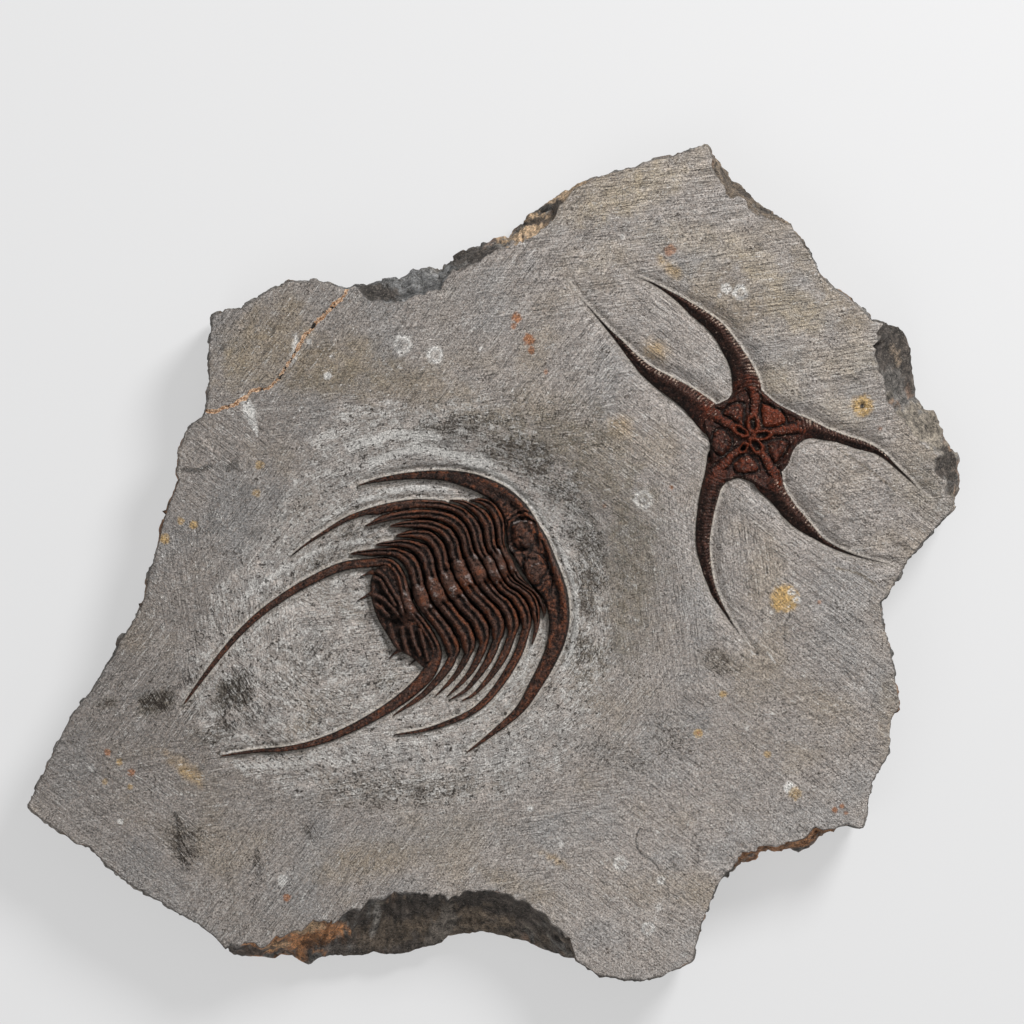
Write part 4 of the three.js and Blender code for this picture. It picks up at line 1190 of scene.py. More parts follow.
def rib_rise(plan, u, x, y):
    """The rise of the tail's rib, which carries the two longest spines."""
    knob = RING_KNOBS[-1]
    share = ring_share(plan, knob)
    ring = on_ring(share)
    inside = smoothstep(body_rise(x, y), 0.5, 1.8)
    inside = inside * smoothstep(above_roots(np.column_stack([x, y])), -3.0, 1.0)
    place = solid_points(x, y, 5)
    rough = fractal(place / 1.5, 205, 4, 0.65)
    knob_bump = 1.2 * bump(np.hypot(x - knob[0], y - knob[1]), 1.4)
    ridges = 0.8 * pleura_profile(u + 0.12 * noise(place / 3.7, 207), noise(place / 3.3, 208))
    body = (
        1.5 + body_rise(x, y) + mixed(ridges, ring_relief(share, u), ring) + 0.26 * rough
        + knob_bump + 0.5 * ring * noise(place / 2.9, 206))
    spine = spine_height(plan, u) + 0.12 * rough + 0.5 * body_rise(x, y)
    return mixed(spine, body, inside)


def head_relief(x, y, from_edge, width):
    """The eye, the glabella and the folds on the head shield, over its plain shape."""
    place = solid_points(x, y)
    lumps = noise(place / 2.4, 212)
    eye = ellipse_distance(x, y, EYE, EYE_RADII) + 0.15 * lumps + 0.08 * noise(place / 1.3, 213)
    # two crescent folds over the eye
    brow = smoothstep(y, 11, 14.5)
    worn = 0.65 + 0.6 * noise(place / 4.0, 217)
    relief = 3.2 * np.clip(1 - eye ** 2, 0, 1) ** 0.85
    relief -= (0.75 * worn + 0.7 * brow) * bump(eye - 1.12, 0.18)
    relief += (1.4 * bump(eye - 1.34, 0.10) + 1.1 * bump(eye - 1.66, 0.11)) * brow
    relief -= 0.8 * bump(eye - 1.50, 0.08) * brow
    middle = ellipse_distance(x, y, GLABELLA, GLABELLA_RADII) + 0.24 * lumps
    relief += 2.2 * np.clip(1 - middle ** 2, 0, 1) ** 0.85
    relief -= 1.0 * worn * bump(middle - 1.1, 0.18)
    relief -= 0.6 * bump(distance_to_line(place[:, :2], GLABELLA_FOLD), 0.5)
    # a lobe behind them, next to the first segment
    nape = ellipse_distance(x, y, NAPE, NAPE_RADII) + 0.2 * lumps
    relief += 1.5 * np.clip(1 - nape ** 2, 0, 1) ** 0.7 - 0.6 * bump(nape - 1.12, 0.2)
    # folds round the glabella's lower end, and the furrow in front of it
    below = 1 - smoothstep(y, -7, -2)
    relief += 1.1 * (bump(middle - 1.30, 0.10) + bump(middle - 1.58, 0.10)) * below
    relief -= 1.3 * bump(distance_to_line(place[:, :2], HEAD_FURROW), 0.7)
    relief -= 1.2 * bump(np.hypot(x - HEAD_PIT[0], y - HEAD_PIT[1]), 1.2)
    return relief + 0.45 * fractal(place / 2.6, 211, 3, 0.6) * smoothstep(from_edge, 1.5, 5)


def head_mesh():
    """The head shield with its two cheek spines, as one strip between its two edges."""
    outer = HEAD_PAIRS[:, :2]
    inner = HEAD_PAIRS[:, 2:]
    width = np.hypot(*(inner - outer).T)
    across = 41
    shares = 0.5 - 0.5 * np.cos(np.linspace(0, math.pi, across))
    shares = mixed(shares, np.linspace(0, 1, across), 0.55)
    tops = np.empty((len(outer), across, 3))
    broad = smoothstep(width, 5.0, 9.5)
    for k, share in enumerate(shares):
        x, y = mixed(outer, inner, share).T
        from_edge = share * width
        rounded = max(0.0, 1 - (2 * share - 1) ** 2) ** 0.5
        spine = np.minimum(1.9, 0.12 + 0.46 * width) * rounded + 0.35 * body_rise(x, y)
        rim = 1.1 * bump(from_edge - 1.7, 1.2) - 0.9 * bump(from_edge - 4.2, 0.9)
        flank = risen(from_edge, 1.6) * mixed(0.5, 1.0, risen(width - from_edge, 1.2))
        shield = (2.0 + body_rise(x, y) * 0.75 + rim) * flank
        shield = shield + head_relief(x, y, from_edge, width)
        rough = 0.15 * fractal(solid_points(x, y) / 1.4, 215, 4, 0.65)
        level = smooth_face(x, y) + mixed(spine, shield, broad) + rough
        tops[:, k] = solid_points(x, y, level)
    still = np.zeros(len(outer))
    return flipped(closed_strip(tops, smooth_face, (2, 3), 2 * shares - 1, still, still))


def fan_mesh():
    """The tail's fan, from under the rib to its rear margin, with its ribs raised."""
    margin = smooth_line(FAN_MARGIN, 0.4)
    rib = RIB["line"]
    upper, lower = (np.hypot(*(rib - np.array(end)).T).argmin() for end in FAN_ROOT)
    front = respaced(rib[upper:lower + 1], 0.1)
    front = front[np.linspace(0, len(front) - 1, len(margin)).round().astype(int)]
    across = 36
    tops = np.empty((len(margin), across, 3))
    for k, share in enumerate(np.linspace(0, 1, across)):
        xy = mixed(front, margin, share)
        x, y = xy.T
        flank = risen((1 - share) * np.hypot(*(margin - front).T), 1.6)
        ribs = np.zeros(len(margin))
        for line in FAN_RIBS:
            ribs = np.maximum(ribs, bump(distance_to_line(xy, line), 0.75))
        hollow = bump(np.hypot(x - FAN_HOLLOW[0], y - FAN_HOLLOW[1]), 2.2)
        place = solid_points(x, y)
        ribs = ribs * (1.15 + 0.5 * noise(place / 2.7, 223))
        rough = 0.26 * fractal(place / 1.5, 221, 4, 0.65) + 0.4 * noise(place / 2.8, 225)
        level = 1.0 + 0.85 * body_rise(x, y) + 1.7 * ribs - 1.5 * hollow + rough
        tops[:, k] = solid_points(x, y, smooth_face(x, y) + 0.3 + level * flank)
    still = np.zeros(len(margin))
    return flipped(closed_strip(tops, smooth_face, (3, 3), np.zeros(across), still, still))


def thorn_mesh(tip, root):
    """One of the tail's short thorns, slightly bent."""
    middle = ((tip[0] + root[0]) / 2 + 0.2, (tip[1] + root[1]) / 2 + 0.3)
    plan = band_plan([(*tip, 0.25), (*middle, 1.0), (*root, 2.4)], 0.25)
    return swept(plan, smooth_face, lambda p, u, x, y: spine_height(p, u) + 0.5, 9)


def joined(parts):
    """Several strips as one mesh."""
    faces = []
    first = 0
    for part_points, part_faces, _ in parts:
        faces += [tuple(i + first for i in face) for face in part_faces]
        first += len(part_points)
    return np.vstack([part[0] for part in parts]), faces, np.vstack([part[2] for part in parts])


# ------------------------------------------------------------------ the star

def arm_ribs(across, run, seed):
    """A vertebra every millimetre and a bit, bent back towards the flanks: 1 on each crest."""
    jitter = 0.30 * noise(np.column_stack([run / 2.6, 1.5 * across + 9.0 * seed]), 233)
    phase = run / 1.22 + 0.5 * np.abs(across) ** 1.5 + jitter
    return np.abs(np.sin(phase * math.pi))


def arm_rise(seed):
    """The rise of one arm of the star, with its vertebrae."""
    def rise(plan, u, x, y):
        half = (plan["left"] + plan["right"]) / 2
        # the crest stands nearer to the side that the light comes from
        lit = left_normals(plan["line"]) @ LIGHT_SIDE
        shifted = u - 0.3 * lit * (1 - u * u)
        crown = np.clip(1 - np.abs(shifted) ** 2.0, 0, 1) ** 0.62
        height = np.minimum(3.0, 0.2 + 0.78 * half)
        wide = smoothstep(half, 0.4, 1.5)
        keel = 0.35 * bump(shifted, 0.14)
        side = 0.3 * bump(np.abs(shifted) - 0.55, 0.13)
        flat = solid_points(x, y, seed)
        rough = 0.22 * fractal(flat / 0.9, 231 + seed, 3, 0.6)
        rough += 0.25 * noise(flat / 3.0, 236 + seed)
        strength = 0.22 + 0.62 * smoothstep(lit * u, -0.1, 0.6)
        across = np.full(len(half), u)
        ribs = strength * (arm_ribs(across, plan["run"], seed) - 0.6)
        shape = height * crown + wide * (ribs + keel - side) * crown + rough * wide
        # the arm comes up out of the disc
        return shape * smoothstep(plan["run"], -1.0, 6.5) - 0.9 * bump(plan["run"], 2.5)
    return rise


def disc_mesh():
    """The star's disc as rings of points out to its margin."""
    around = 320
    rings = 84
    edge_x, edge_y = (DISC_EDGE - STAR_CENTRE).T
    angle = np.linspace(-math.pi, math.pi, around, endpoint=False)
    margin = round_lookup(angle, np.arctan2(edge_y, edge_x), np.hypot(edge_x, edge_y))
    shares = np.linspace(0, 1, rings + 1)[1:]
    x = STAR_CENTRE[0] + margin[:, None] * shares * np.cos(angle)[:, None]
    y = STAR_CENTRE[1] + margin[:, None] * shares * np.sin(angle)[:, None]
    flat = np.column_stack([x.ravel(), y.ravel()])
    top, tone = disc_relief(flat, np.tile(shares, around), np.repeat(margin, rings))
    rows = rings + 1
    points = np.empty((around, rows, 3))
    points[:, :rings] = np.stack([x, y, top.reshape(around, rings)], axis=2)
    points[:, rings] = points[:, rings - 1]
    points[:, rings, 2] = star_ground(points[:, rings, 0], points[:, rings, 1]) - SINK
    faces = grid_faces(around, rows, closed=True)
    middle, middle_tone = disc_relief(np.array([STAR_CENTRE]), np.zeros(1), np.ones(1))
    bottom = star_ground(*STAR_CENTRE) - SINK
    hub = around * rows
    ends = [[*STAR_CENTRE, middle[0]], [*STAR_CENTRE, bottom]]
    points = np.vstack([points.reshape(-1, 3), ends])
    for i in range(around):
        j = (i + 1) % around
        faces.append((hub, i * rows, j * rows))
        faces.append((hub + 1, j * rows + rows - 1, i * rows + rows - 1))
    tones = np.zeros((around, rows))
    tones[:, :rings] = tone.reshape(around, rings)
    return points, faces, np.concatenate([tones.ravel(), middle_tone, [0.0]])


def disc_relief(flat, share, margin):
    """The disc's height, and how worn and red each point is, from about 0 to 1. Each point's
    share is its place from the middle to the margin, which lies the given distance out."""
    # nothing on the disc is quite straight or even
    warp = np.column_stack([noise(flat / 2.3, 251), noise(flat / 2.3, 252)])
    warp += 0.4 * np.column_stack([noise(flat / 0.9, 253), noise(flat / 0.9, 254)])
    flat = flat + 0.42 * warp
    x, y = flat[:, 0], flat[:, 1]
    from_edge = (1 - share) * margin
    flank = risen(from_edge, 1.5)
    level = np.full(len(flat), 1.3) + 0.5 * smoothstep(share, 0.5, 0.9)
    level += 0.25 * noise(flat / 2.0, 255)
    tone = np.full(len(flat), 0.40)
    pitted = fractal(flat / 1.3, 257, 3, 0.65)
    for polygon, redness in zip(DISC_PLATES, PLATE_REDNESS):
        gap = polygon_gap(flat, polygon, 0.25) - 0.25
        plate = 1 - smoothstep(gap, -1.5, 0.05)
        level += (1.05 + 0.15 * pitted) * plate
        level -= 1.5 * bump(gap - 0.30, 0.32)
        tone = np.maximum(tone, (redness + 0.15 * pitted) * (1 - smoothstep(gap, -0.7, 0.0)))
        tone -= 0.75 * bump(gap - 0.30, 0.28)
    for line in DISC_RIDGES:
        spacing = 0.3
        index, gap = nearest(flat, smooth_line(line, spacing))
        along = index * spacing
        beads = np.abs(np.sin((along / 1.25 + 0.35 * noise(flat / 1.7, 259)) * math.pi))
        half = 1.35 + 0.09 * along
        ridge = np.sqrt(np.clip(1 - (gap / half) ** 2, 0, 1))
        level -= 0.7 * bump(gap - half - 0.1, 0.3)
        level = np.maximum(level, 0.9 + (1.5 + 0.25 * beads) * ridge)
        tone -= 0.5 * bump(gap - half - 0.1, 0.25)
        tone = np.maximum(tone, (0.5 + 0.3 * beads) * ridge)
    for cx, cy, long_half, wide_half, degrees in MOUTH_LOOPS:
        along, across = turned(x, y, cx, cy, degrees)
        oval = np.hypot(along / long_half, across / wide_half)
        wall = bump(oval - 0.94, 0.36)
        hole = 1 - smoothstep(oval, 0.30, 0.60)
        inside = 1 - smoothstep(oval, 0.9, 1.25)
        level = np.maximum(mixed(level, 1.1, inside), 1.0 + 1.9 * wall)
        level = mixed(level, -0.8, hole)
        tone = np.maximum(tone, wall * 0.95) * (1 - hole) - 0.6 * hole
    level += 0.13 * fractal(flat / 0.9, 241, 4, 0.6) + 0.7 * bump(from_edge - 1.3, 0.8)
    tone += 0.16 * fractal(flat / 1.4, 245, 3) - 0.15 * (1 - flank)
    return star_ground(x, y) + level * mixed(0.25, 1.0, flank), tone


# ------------------------------------------------------------------ paint

STONE = np.array([0.296, 0.266, 0.243])
STONE_BLUE = np.array([0.260, 0.254, 0.249])
STONE_BROWN = np.array([0.290, 0.235, 0.170])
# olive-brown: the colour of olive stains, also used for painted shade on the hollow's banks and beside
# the fossils
STONE_OLIVE_AND_SHADE = np.array([0.205, 0.175, 0.132])
CHALK = np.array([0.450, 0.402, 0.366])
WHITE = np.array([0.660, 0.640, 0.610])
OCHRE = np.array([0.430, 0.285, 0.120])
RUST = np.array([0.300, 0.115, 0.040])
DARK = np.array([0.055, 0.050, 0.045])
# dark broken stone; on the bottom scar and in the chips' crevices it also stands for painted shade
SCAR_AND_SHADE = np.array([0.108, 0.089, 0.075])
IRON = np.array([0.400, 0.190, 0.085])
GREY_BREAK = np.array([0.172, 0.162, 0.150])
TAN = np.array([0.385, 0.318, 0.225])
TAN_BREAK = np.array([0.470, 0.330, 0.205])
BROWN_BREAK = np.array([0.215, 0.165, 0.120])
BLUE_BREAK = np.array([0.168, 0.168, 0.166])
FAWN_BREAK = np.array([0.265, 0.228, 0.182])

# Broad stains, and painted shade on the hollow's upper and right banks: x, y, reach along and across,
# turn in degrees, colour, strength.
STAINS_AND_SHADE = [
    (38, 134, 34, 10, 25, STONE_BROWN, 0.55), (88, 96, 26, 13, -20, STONE_BROWN, 0.75),
    (119, 107, 20, 8, -40, STONE_BROWN, 0.6), (-45, -108, 26, 9, 8, STONE_BROWN, 0.75),
    (-84, 80, 22, 14, 30, STONE_BROWN * 0.9, 1.0), (-60, 72, 22, 13, 10, STONE_BROWN * 0.8, 1.0),
    (-24, 62, 30, 9, -12, STONE_BROWN, 0.6), (46, 50, 7, 5, 0, OCHRE, 0.55),
    (58.6, 77.7, 7, 4.5, -45, OCHRE, 0.7), (64, 107.7, 6, 2.6, -45, OCHRE, 0.75),
    # painted shade: the olive patches at (50, -5), (38, 38) and (14, 47) darken the hollow's right and
    # upper banks, which face away from the light; the other olive patches are stains
    (50, -5, 13, 40, -8, STONE_OLIVE_AND_SHADE, 0.85), (38, 38, 15, 26, 30, STONE_OLIVE_AND_SHADE, 0.75),
    (14, 47, 24, 11, -22, STONE_OLIVE_AND_SHADE, 0.75), (-50, 67, 34, 7, 6, STONE_OLIVE_AND_SHADE, 0.55),
    (-95, -48, 8, 7, 60, STONE_OLIVE_AND_SHADE, 0.4), (-124, -51, 8, 4, 25, STONE_OLIVE_AND_SHADE, 0.5),
    (-38, -42, 5, 2.5, 10, STONE_OLIVE_AND_SHADE, 0.7), (-45, -36, 3, 1.6, 0, STONE_OLIVE_AND_SHADE, 0.5),
    (-52, -16, 2.2, 7, 12, STONE_OLIVE_AND_SHADE, 0.4), (34, -34, 5, 12, 10, STONE_OLIVE_AND_SHADE, 0.35),
    (30, -38, 10, 16, -30, STONE_OLIVE_AND_SHADE, 0.35), (148, -64, 10, 26, 10, STONE_BROWN, 0.6),
    (150, -12, 12, 9, 30, STONE_BROWN, 0.6), (156, 28, 16, 11, -40, STONE_OLIVE_AND_SHADE, 0.75),
    (66, -118, 20, 8, 0, STONE_BROWN, 0.4), (10, -118, 22, 5, -22, STONE_BROWN, 0.6),
    (-113, -75, 10, 3.2, -38, OCHRE, 0.75),
    (-12, -98, 60, 8, 0, STONE_BLUE, 0.4), (-84, 8, 26, 30, 30, STONE_BLUE, 0.45),
    (100, 75, 22, 9, -15, STONE_BLUE, 0.45), (22, -108, 9, 1.3, -28, OCHRE, 0.65),
    (112, -48, 20, 8, -32, STONE_BROWN, 0.35), (-8, 100, 20, 6, 22, STONE_BLUE, 0.4),
    (128, 92, 12, 6, -40, STONE_BROWN, 0.55), (70, 0, 20, 26, 0, STONE_BLUE, 0.25),
    (52, 136, 26, 9, 24, TAN, 0.65), (74, 118, 26, 8, -10, TAN, 0.4), (98, 106, 16, 6, -35, TAN, 0.7),
    (112, 92, 14, 9, -30, TAN, 0.75), (104, 66, 11, 7, -30, TAN, 0.5), (132, 74, 14, 12, 0, TAN, 0.4),
    (40, 112, 14, 6, 20, TAN, 0.3), (126, 55, 12, 8, -30, TAN, 0.35),
    (-94, 70, 7, 12, 20, TAN, 0.3), (-50, 78, 10, 5, 20, TAN, 0.25),
]
# Small specks and dabs: x, y, radius, colour, strength.
SPECKS = [
    (134.1, 57.3, 4.3, OCHRE, 0.95), (134.1, 57.3, 0.95, DARK, 1.0),
    (105.7, -13.1, 5.5, OCHRE * 1.12, 1.0), (8, 89.5, 2.0, RUST, 0.85), (7.0, 86.5, 1.2, RUST, 0.7),
    (12.5, 81.5, 2.3, RUST, 0.85), (13.5, 77.5, 1.5, RUST, 0.8), (18.8, 69.7, 1.0, RUST, 0.6),
    (74.3, -62, 1.8, OCHRE, 0.9), (74.3, -62, 0.7, RUST, 0.8), (83.4, -47.8, 1.5, OCHRE, 0.8),
    (-120.3, 8.8, 2.0, OCHRE, 0.9), (-109.7, 13.9, 1.8, OCHRE, 0.85), (-114.4, 15.3, 1.4, OCHRE, 0.7),
    (-85.6, 35.8, 1.8, OCHRE, 0.7), (-86.7, 25.5, 1.7, OCHRE, 0.6), (99.5, -69.7, 1.5, OCHRE, 0.7),
    (107.5, -81.8, 2.3, WHITE, 1.0), (109.5, -83.9, 2.6, OCHRE, 0.65), (-60.8, 68.3, 1.5, WHITE, 0.95),
    (13.0, -89.6, 1.3, WHITE, 0.9), (24.3, -102.6, 1.2, WHITE, 0.7), (-146.9, -74.5, 1.4, WHITE, 0.7),
    (-142, -79.6, 1.2, OCHRE, 0.5), (-136.3, -94.2, 1.2, WHITE, 0.9), (-77.2, -115.7, 2.2, WHITE, 0.85),
    (-75.7, -121.9, 1.6, RUST, 0.85), (-141, -69, 1.4, RUST, 0.7), (-136.7, -72.6, 1.3, OCHRE, 0.8),
    (-132.3, -76.3, 1.5, RUST, 0.75), (-132.7, -81.4, 1.2, OCHRE, 0.8), (63.9, 114, 2.4, RUST, 0.6),
    (-5, 78, 1.0, WHITE, 0.6), (-67.5, 80.6, 1.2, WHITE, 0.55), (95.8, -33, 0.6, DARK, 1.0),
    (124, -90, 1.2, RUST, 0.85), (126.5, -88.6, 1.0, RUST, 0.8), (128, -91, 0.9, RUST, 0.7),
    (54.2, 23.0, 1.0, WHITE, 0.5), (109, -11.0, 0.9, WHITE, 0.85), (140.5, 49.0, 0.8, RUST, 0.5),
    (153, 62, 1.0, OCHRE, 0.4),
    (64.5, 27.5, 0.9, RUST, 0.9), (84.5, 100.0, 2.1, WHITE, 0.85), (82.0, 97.5, 0.9, WHITE, 0.7),
    (101, -18, 0.8, WHITE, 0.6), (40.2, 20.8, 0.8, RUST, 0.4), (118.6, -14.2, 0.9, RUST, 0.6),
    (-26.5, -49.0, 1.4, RUST, 0.25), (46.6, 119, 1.1, WHITE, 0.5), (-86, -78, 1.1, WHITE, 0.5),
    (92, -60, 0.9, WHITE, 0.5), (134, -46, 1.0, WHITE, 0.5),
    (60.0, -125.6, 1.3, WHITE, 0.55), (38.3, -84, 0.9, WHITE, 0.6), (-5.5, -72.0, 0.8, WHITE, 0.35),
]
# White rings: x, y, radius, line width.
RINGS = [
    (-33.4, 79.6, 2.9, 0.55), (-21.7, 75.9, 2.5, 0.7), (89.6, 98.6, 2.2, 0.75),
    (54.2, 23.2, 3.0, 0.45), (45.8, -109.5, 2.0, 0.6), (56.0, -133.2, 2.0, 0.55),
    (107.9, -10.6, 0.9, 0.35), (110.4, -13.5, 1.0, 0.35), (60.8, -115.7, 1.2, 0.5),
]
# Scratches and drawn-out marks: points, half width, colour, strength.
STREAKS = [
    ([(-91.6, 60.4, 1.2), (-90.0, 57, 2.4), (-88.0, 51.5, 1.7), (-86.4, 46.5, 0.3)], 2.4,
     WHITE, 0.9),
    ([(-72.2, 83.5, 0.3), (-72.6, 79, 1.3), (-73.4, 73.5, 1.1)], 1.3, WHITE, 0.7),
    ([(-107, 46), (-104, 42.5), (-102.4, 38.3)], 0.6, CHALK, 0.9),
    ([(-113.3, 34), (-108, 33.8), (-103.5, 35)], 1.0, DARK, 0.75),
    ([(-96.7, 35), (-94.5, 36.2)], 1.7, DARK, 0.6),
    ([(53.1, -96.7), (51.6, -100.4), (53.1, -105.5), (57.5, -108.4), (60.4, -111.7),
      (64, -111), (66.2, -109.9)], 0.32, DARK, 0.9),
    ([(53.1, -96.7), (56.8, -97.8)], 0.3, DARK, 0.8),
    ([(75.2, -101.1), (74.2, -105), (74.6, -108.4)], 0.35, DARK, 0.6),
    ([(108, -19), (106.2, -21.5), (105.8, -25), (106, -29.2)], 0.35, DARK, 0.7),
    ([(145.3, 66.8), (147.5, 61), (149.7, 55.5)], 0.5, WHITE, 0.85),
    ([(139, 54.6), (147, 49.4)], 0.4, CHALK, 0.7),
    ([(155.3, 44.9), (161, 40.2)], 0.45, WHITE, 0.6),
    ([(-116, -91.2), (-114.9, -103), (-113.5, -111.7)], 0.5, DARK, 0.65),
    ([(-86.7, -104.8), (-85.4, -112), (-86.5, -113.8)], 0.5, DARK, 0.5),
    ([(-69.9, -95.6), (-66.2, -101)], 0.7, DARK, 0.55),
    ([(-9, 84.7), (-5, 86.6)], 0.5, WHITE, 0.4),
    ([(-45.6, 59.6), (-37.5, 57.2)], 0.9, CHALK, 0.6),
    ([(-64.6, 44.0), (-57.8, 45.2)], 1.4, CHALK, 0.55),
    ([(99.7, -32.9), (102.2, -36.2)], 0.45, WHITE, 0.7),
    ([(124.5, -1.9), (133, -4.0), (139, -8.0)], 0.5, STONE_BROWN * 0.6, 0.7),
    ([(124.5, 42.3), (131.8, 37.4), (140.6, 31.0), (146.4, 26.3)], 0.5, STONE_BROWN * 0.55, 0.6),
]
# Pale scraped sweeps in the dusted ground: points, half width, strength.
SCRAPES = [
    ([(-52.7, 42), (-37.8, 46.9), (-27.9, 45.3)], 2.2, 0.9),
    ([(-44.5, 36.9), (-29.5, 41.5), (-14.6, 39.4), (-1.3, 36.1)], 2.0, 1.0),
    ([(-12, 36.5), (0.2, 32.6), (12.3, 22.9), (19.6, 12.5)], 1.3, 1.0),
    ([(22, 8), (27.5, -3), (29.5, -14), (29.3, -26), (25.2, -40)], 1.4, 0.9),
    ([(-47, 43.5), (-34, 47), (-20, 46)], 1.6, 0.9), ([(-66, 44), (-58, 47), (-50, 48)], 2.2, 0.6),
    ([(34.2, -34.7), (31.9, -47.3), (25.5, -60.2)], 2.6, 0.45),
    ([(8.6, -70.2), (-8, -76.6), (-32.9, -79.2)], 2.6, 0.45),
    ([(-104, 4.5), (-88, 16.2), (-73, 26)], 2.4, 0.3),
    ([(-60, 52), (-46, 55.5), (-33, 54)], 2.0, 0.5), ([(-64, 31), (-52, 35.5), (-42, 36)], 2.4, 0.45),
    ([(-42, 25.5), (-30, 27.5), (-18, 26.8)], 1.6, 0.9),
    ([(-62, 16), (-50, 22.5), (-40, 24.2)], 1.3, 0.8),
    ([(-92, -13), (-78, -3), (-62, 5), (-48, 8)], 1.5, 0.8),
    ([(-95, -32), (-84, -22), (-70, -13.5)], 1.6, 0.55),
    ([(-60, -70), (-75, -73), (-95, -75)], 2.2, 0.6), ([(-20, -64), (-40, -68), (-60, -73)], 1.5, 0.5),
    ([(2, -48), (-6, -55), (-16, -60.5)], 1.2, 0.7), ([(14, -30), (10, -40), (2, -50)], 1.2, 0.7),
    ([(-50, -25), (-56, -40), (-54, -52)], 3.5, 0.3), ([(-70, -30), (-76, -44), (-70, -56)], 4.0, 0.35),
    ([(40, 30), (32, 42), (20, 51)], 1.6, 0.35), ([(37, -10), (39, -24), (36, -38)], 1.8, 0.5),
    ([(70, 88), (60, 80), (66, 70)], 1.6, 0.25), ([(86, 72), (80, 64), (86, 58)], 2.5, 0.25),
]
# Dark mottling: x, y, reach along and across, turn, strength.
MOTTLES = [
    (-123.5, -50.5, 9, 5, 25, 1.0), (-94.0, -48, 9, 8, 60, 1.0), (-141, -51.5, 5, 2.5, 10, 0.8),
    (10, 40, 22, 9, -25, 0.9), (-12, 50, 22, 6, 5, 0.75), (26, 26, 12, 7, -50, 0.9),
    (34, -2, 8, 26, 0, 0.95), (30, -30, 8, 14, 15, 0.7), (-58, -55, 20, 12, 0, 0.35),
    (-30, -82, 40, 8, 3, 0.55), (-55, 6, 26, 7, 30, 0.55), (-70, -38, 22, 12, 30, 0.3),
    (-113, -100, 9, 10, 60, 0.7), (82, -36, 9, 5, -10, 0.7), (44, -70, 14, 8, -20, 0.3),
    (-41, -44, 4, 4, 0, 0.7), (-76, -70, 12, 5, 0, 0.5), (-103, -62, 12, 5, 10, 0.6),
    (5, 62, 8, 4, -20, 0.4), (30, 50, 18, 10, -30, 0.4), (64, -62, 12, 10, 0, 0.25),
]
# Patches of short dark strokes: x, y, reach along and across, turn, strength.
HATCHES = [
    (-92, -46, 8, 10, 0, 1.0), (-96, -53, 5, 9, 15, 0.8), (-123, -50, 10, 6, 20, 1.0),
    (-111, -42, 7, 3, 30, 0.6), (-113, -104, 4, 13, 8, 0.9), (-86, -110, 3, 8, 0, 0.5),
    (-88, -55, 8, 5, 0, 0.7), (-66, -98, 5, 4, 30, 0.5),
]
# Which way the brushing runs: x, y, direction in degrees.
BRUSHING = [
    (60, 135, 8), (90, 105, 4), (120, 95, -12), (130, 70, -10), (150, 60, -18), (20, 110, 22),
    (-10, 95, 25), (-40, 80, 28), (-70, 80, 35), (-95, 75, 35), (-95, 40, -50), (-100, 10, -55),
    (-60, 50, 20), (30, 70, 30), (60, 60, -45), (70, 85, -40), (110, 30, -25), (140, 10, -20),
    (120, -20, -35), (140, -60, -30), (110, -50, -28), (80, -60, -30), (60, -80, -32),
    (100, -90, -28), (120, -90, -25), (30, -90, -12), (0, -100, 20), (40, -130, -45),
    (60, -140, -60), (-40, -100, 35), (-60, -130, 40), (-90, -120, 60), (-120, -100, -35),
    (-150, -80, -35), (-140, -50, 40), (-110, -30, 45), (-120, 0, -55), (-90, -80, 20),
    (60, 10, -70), (60, -20, -75), (50, -45, -60), (90, 0, -80), (95, -30, -50),
]
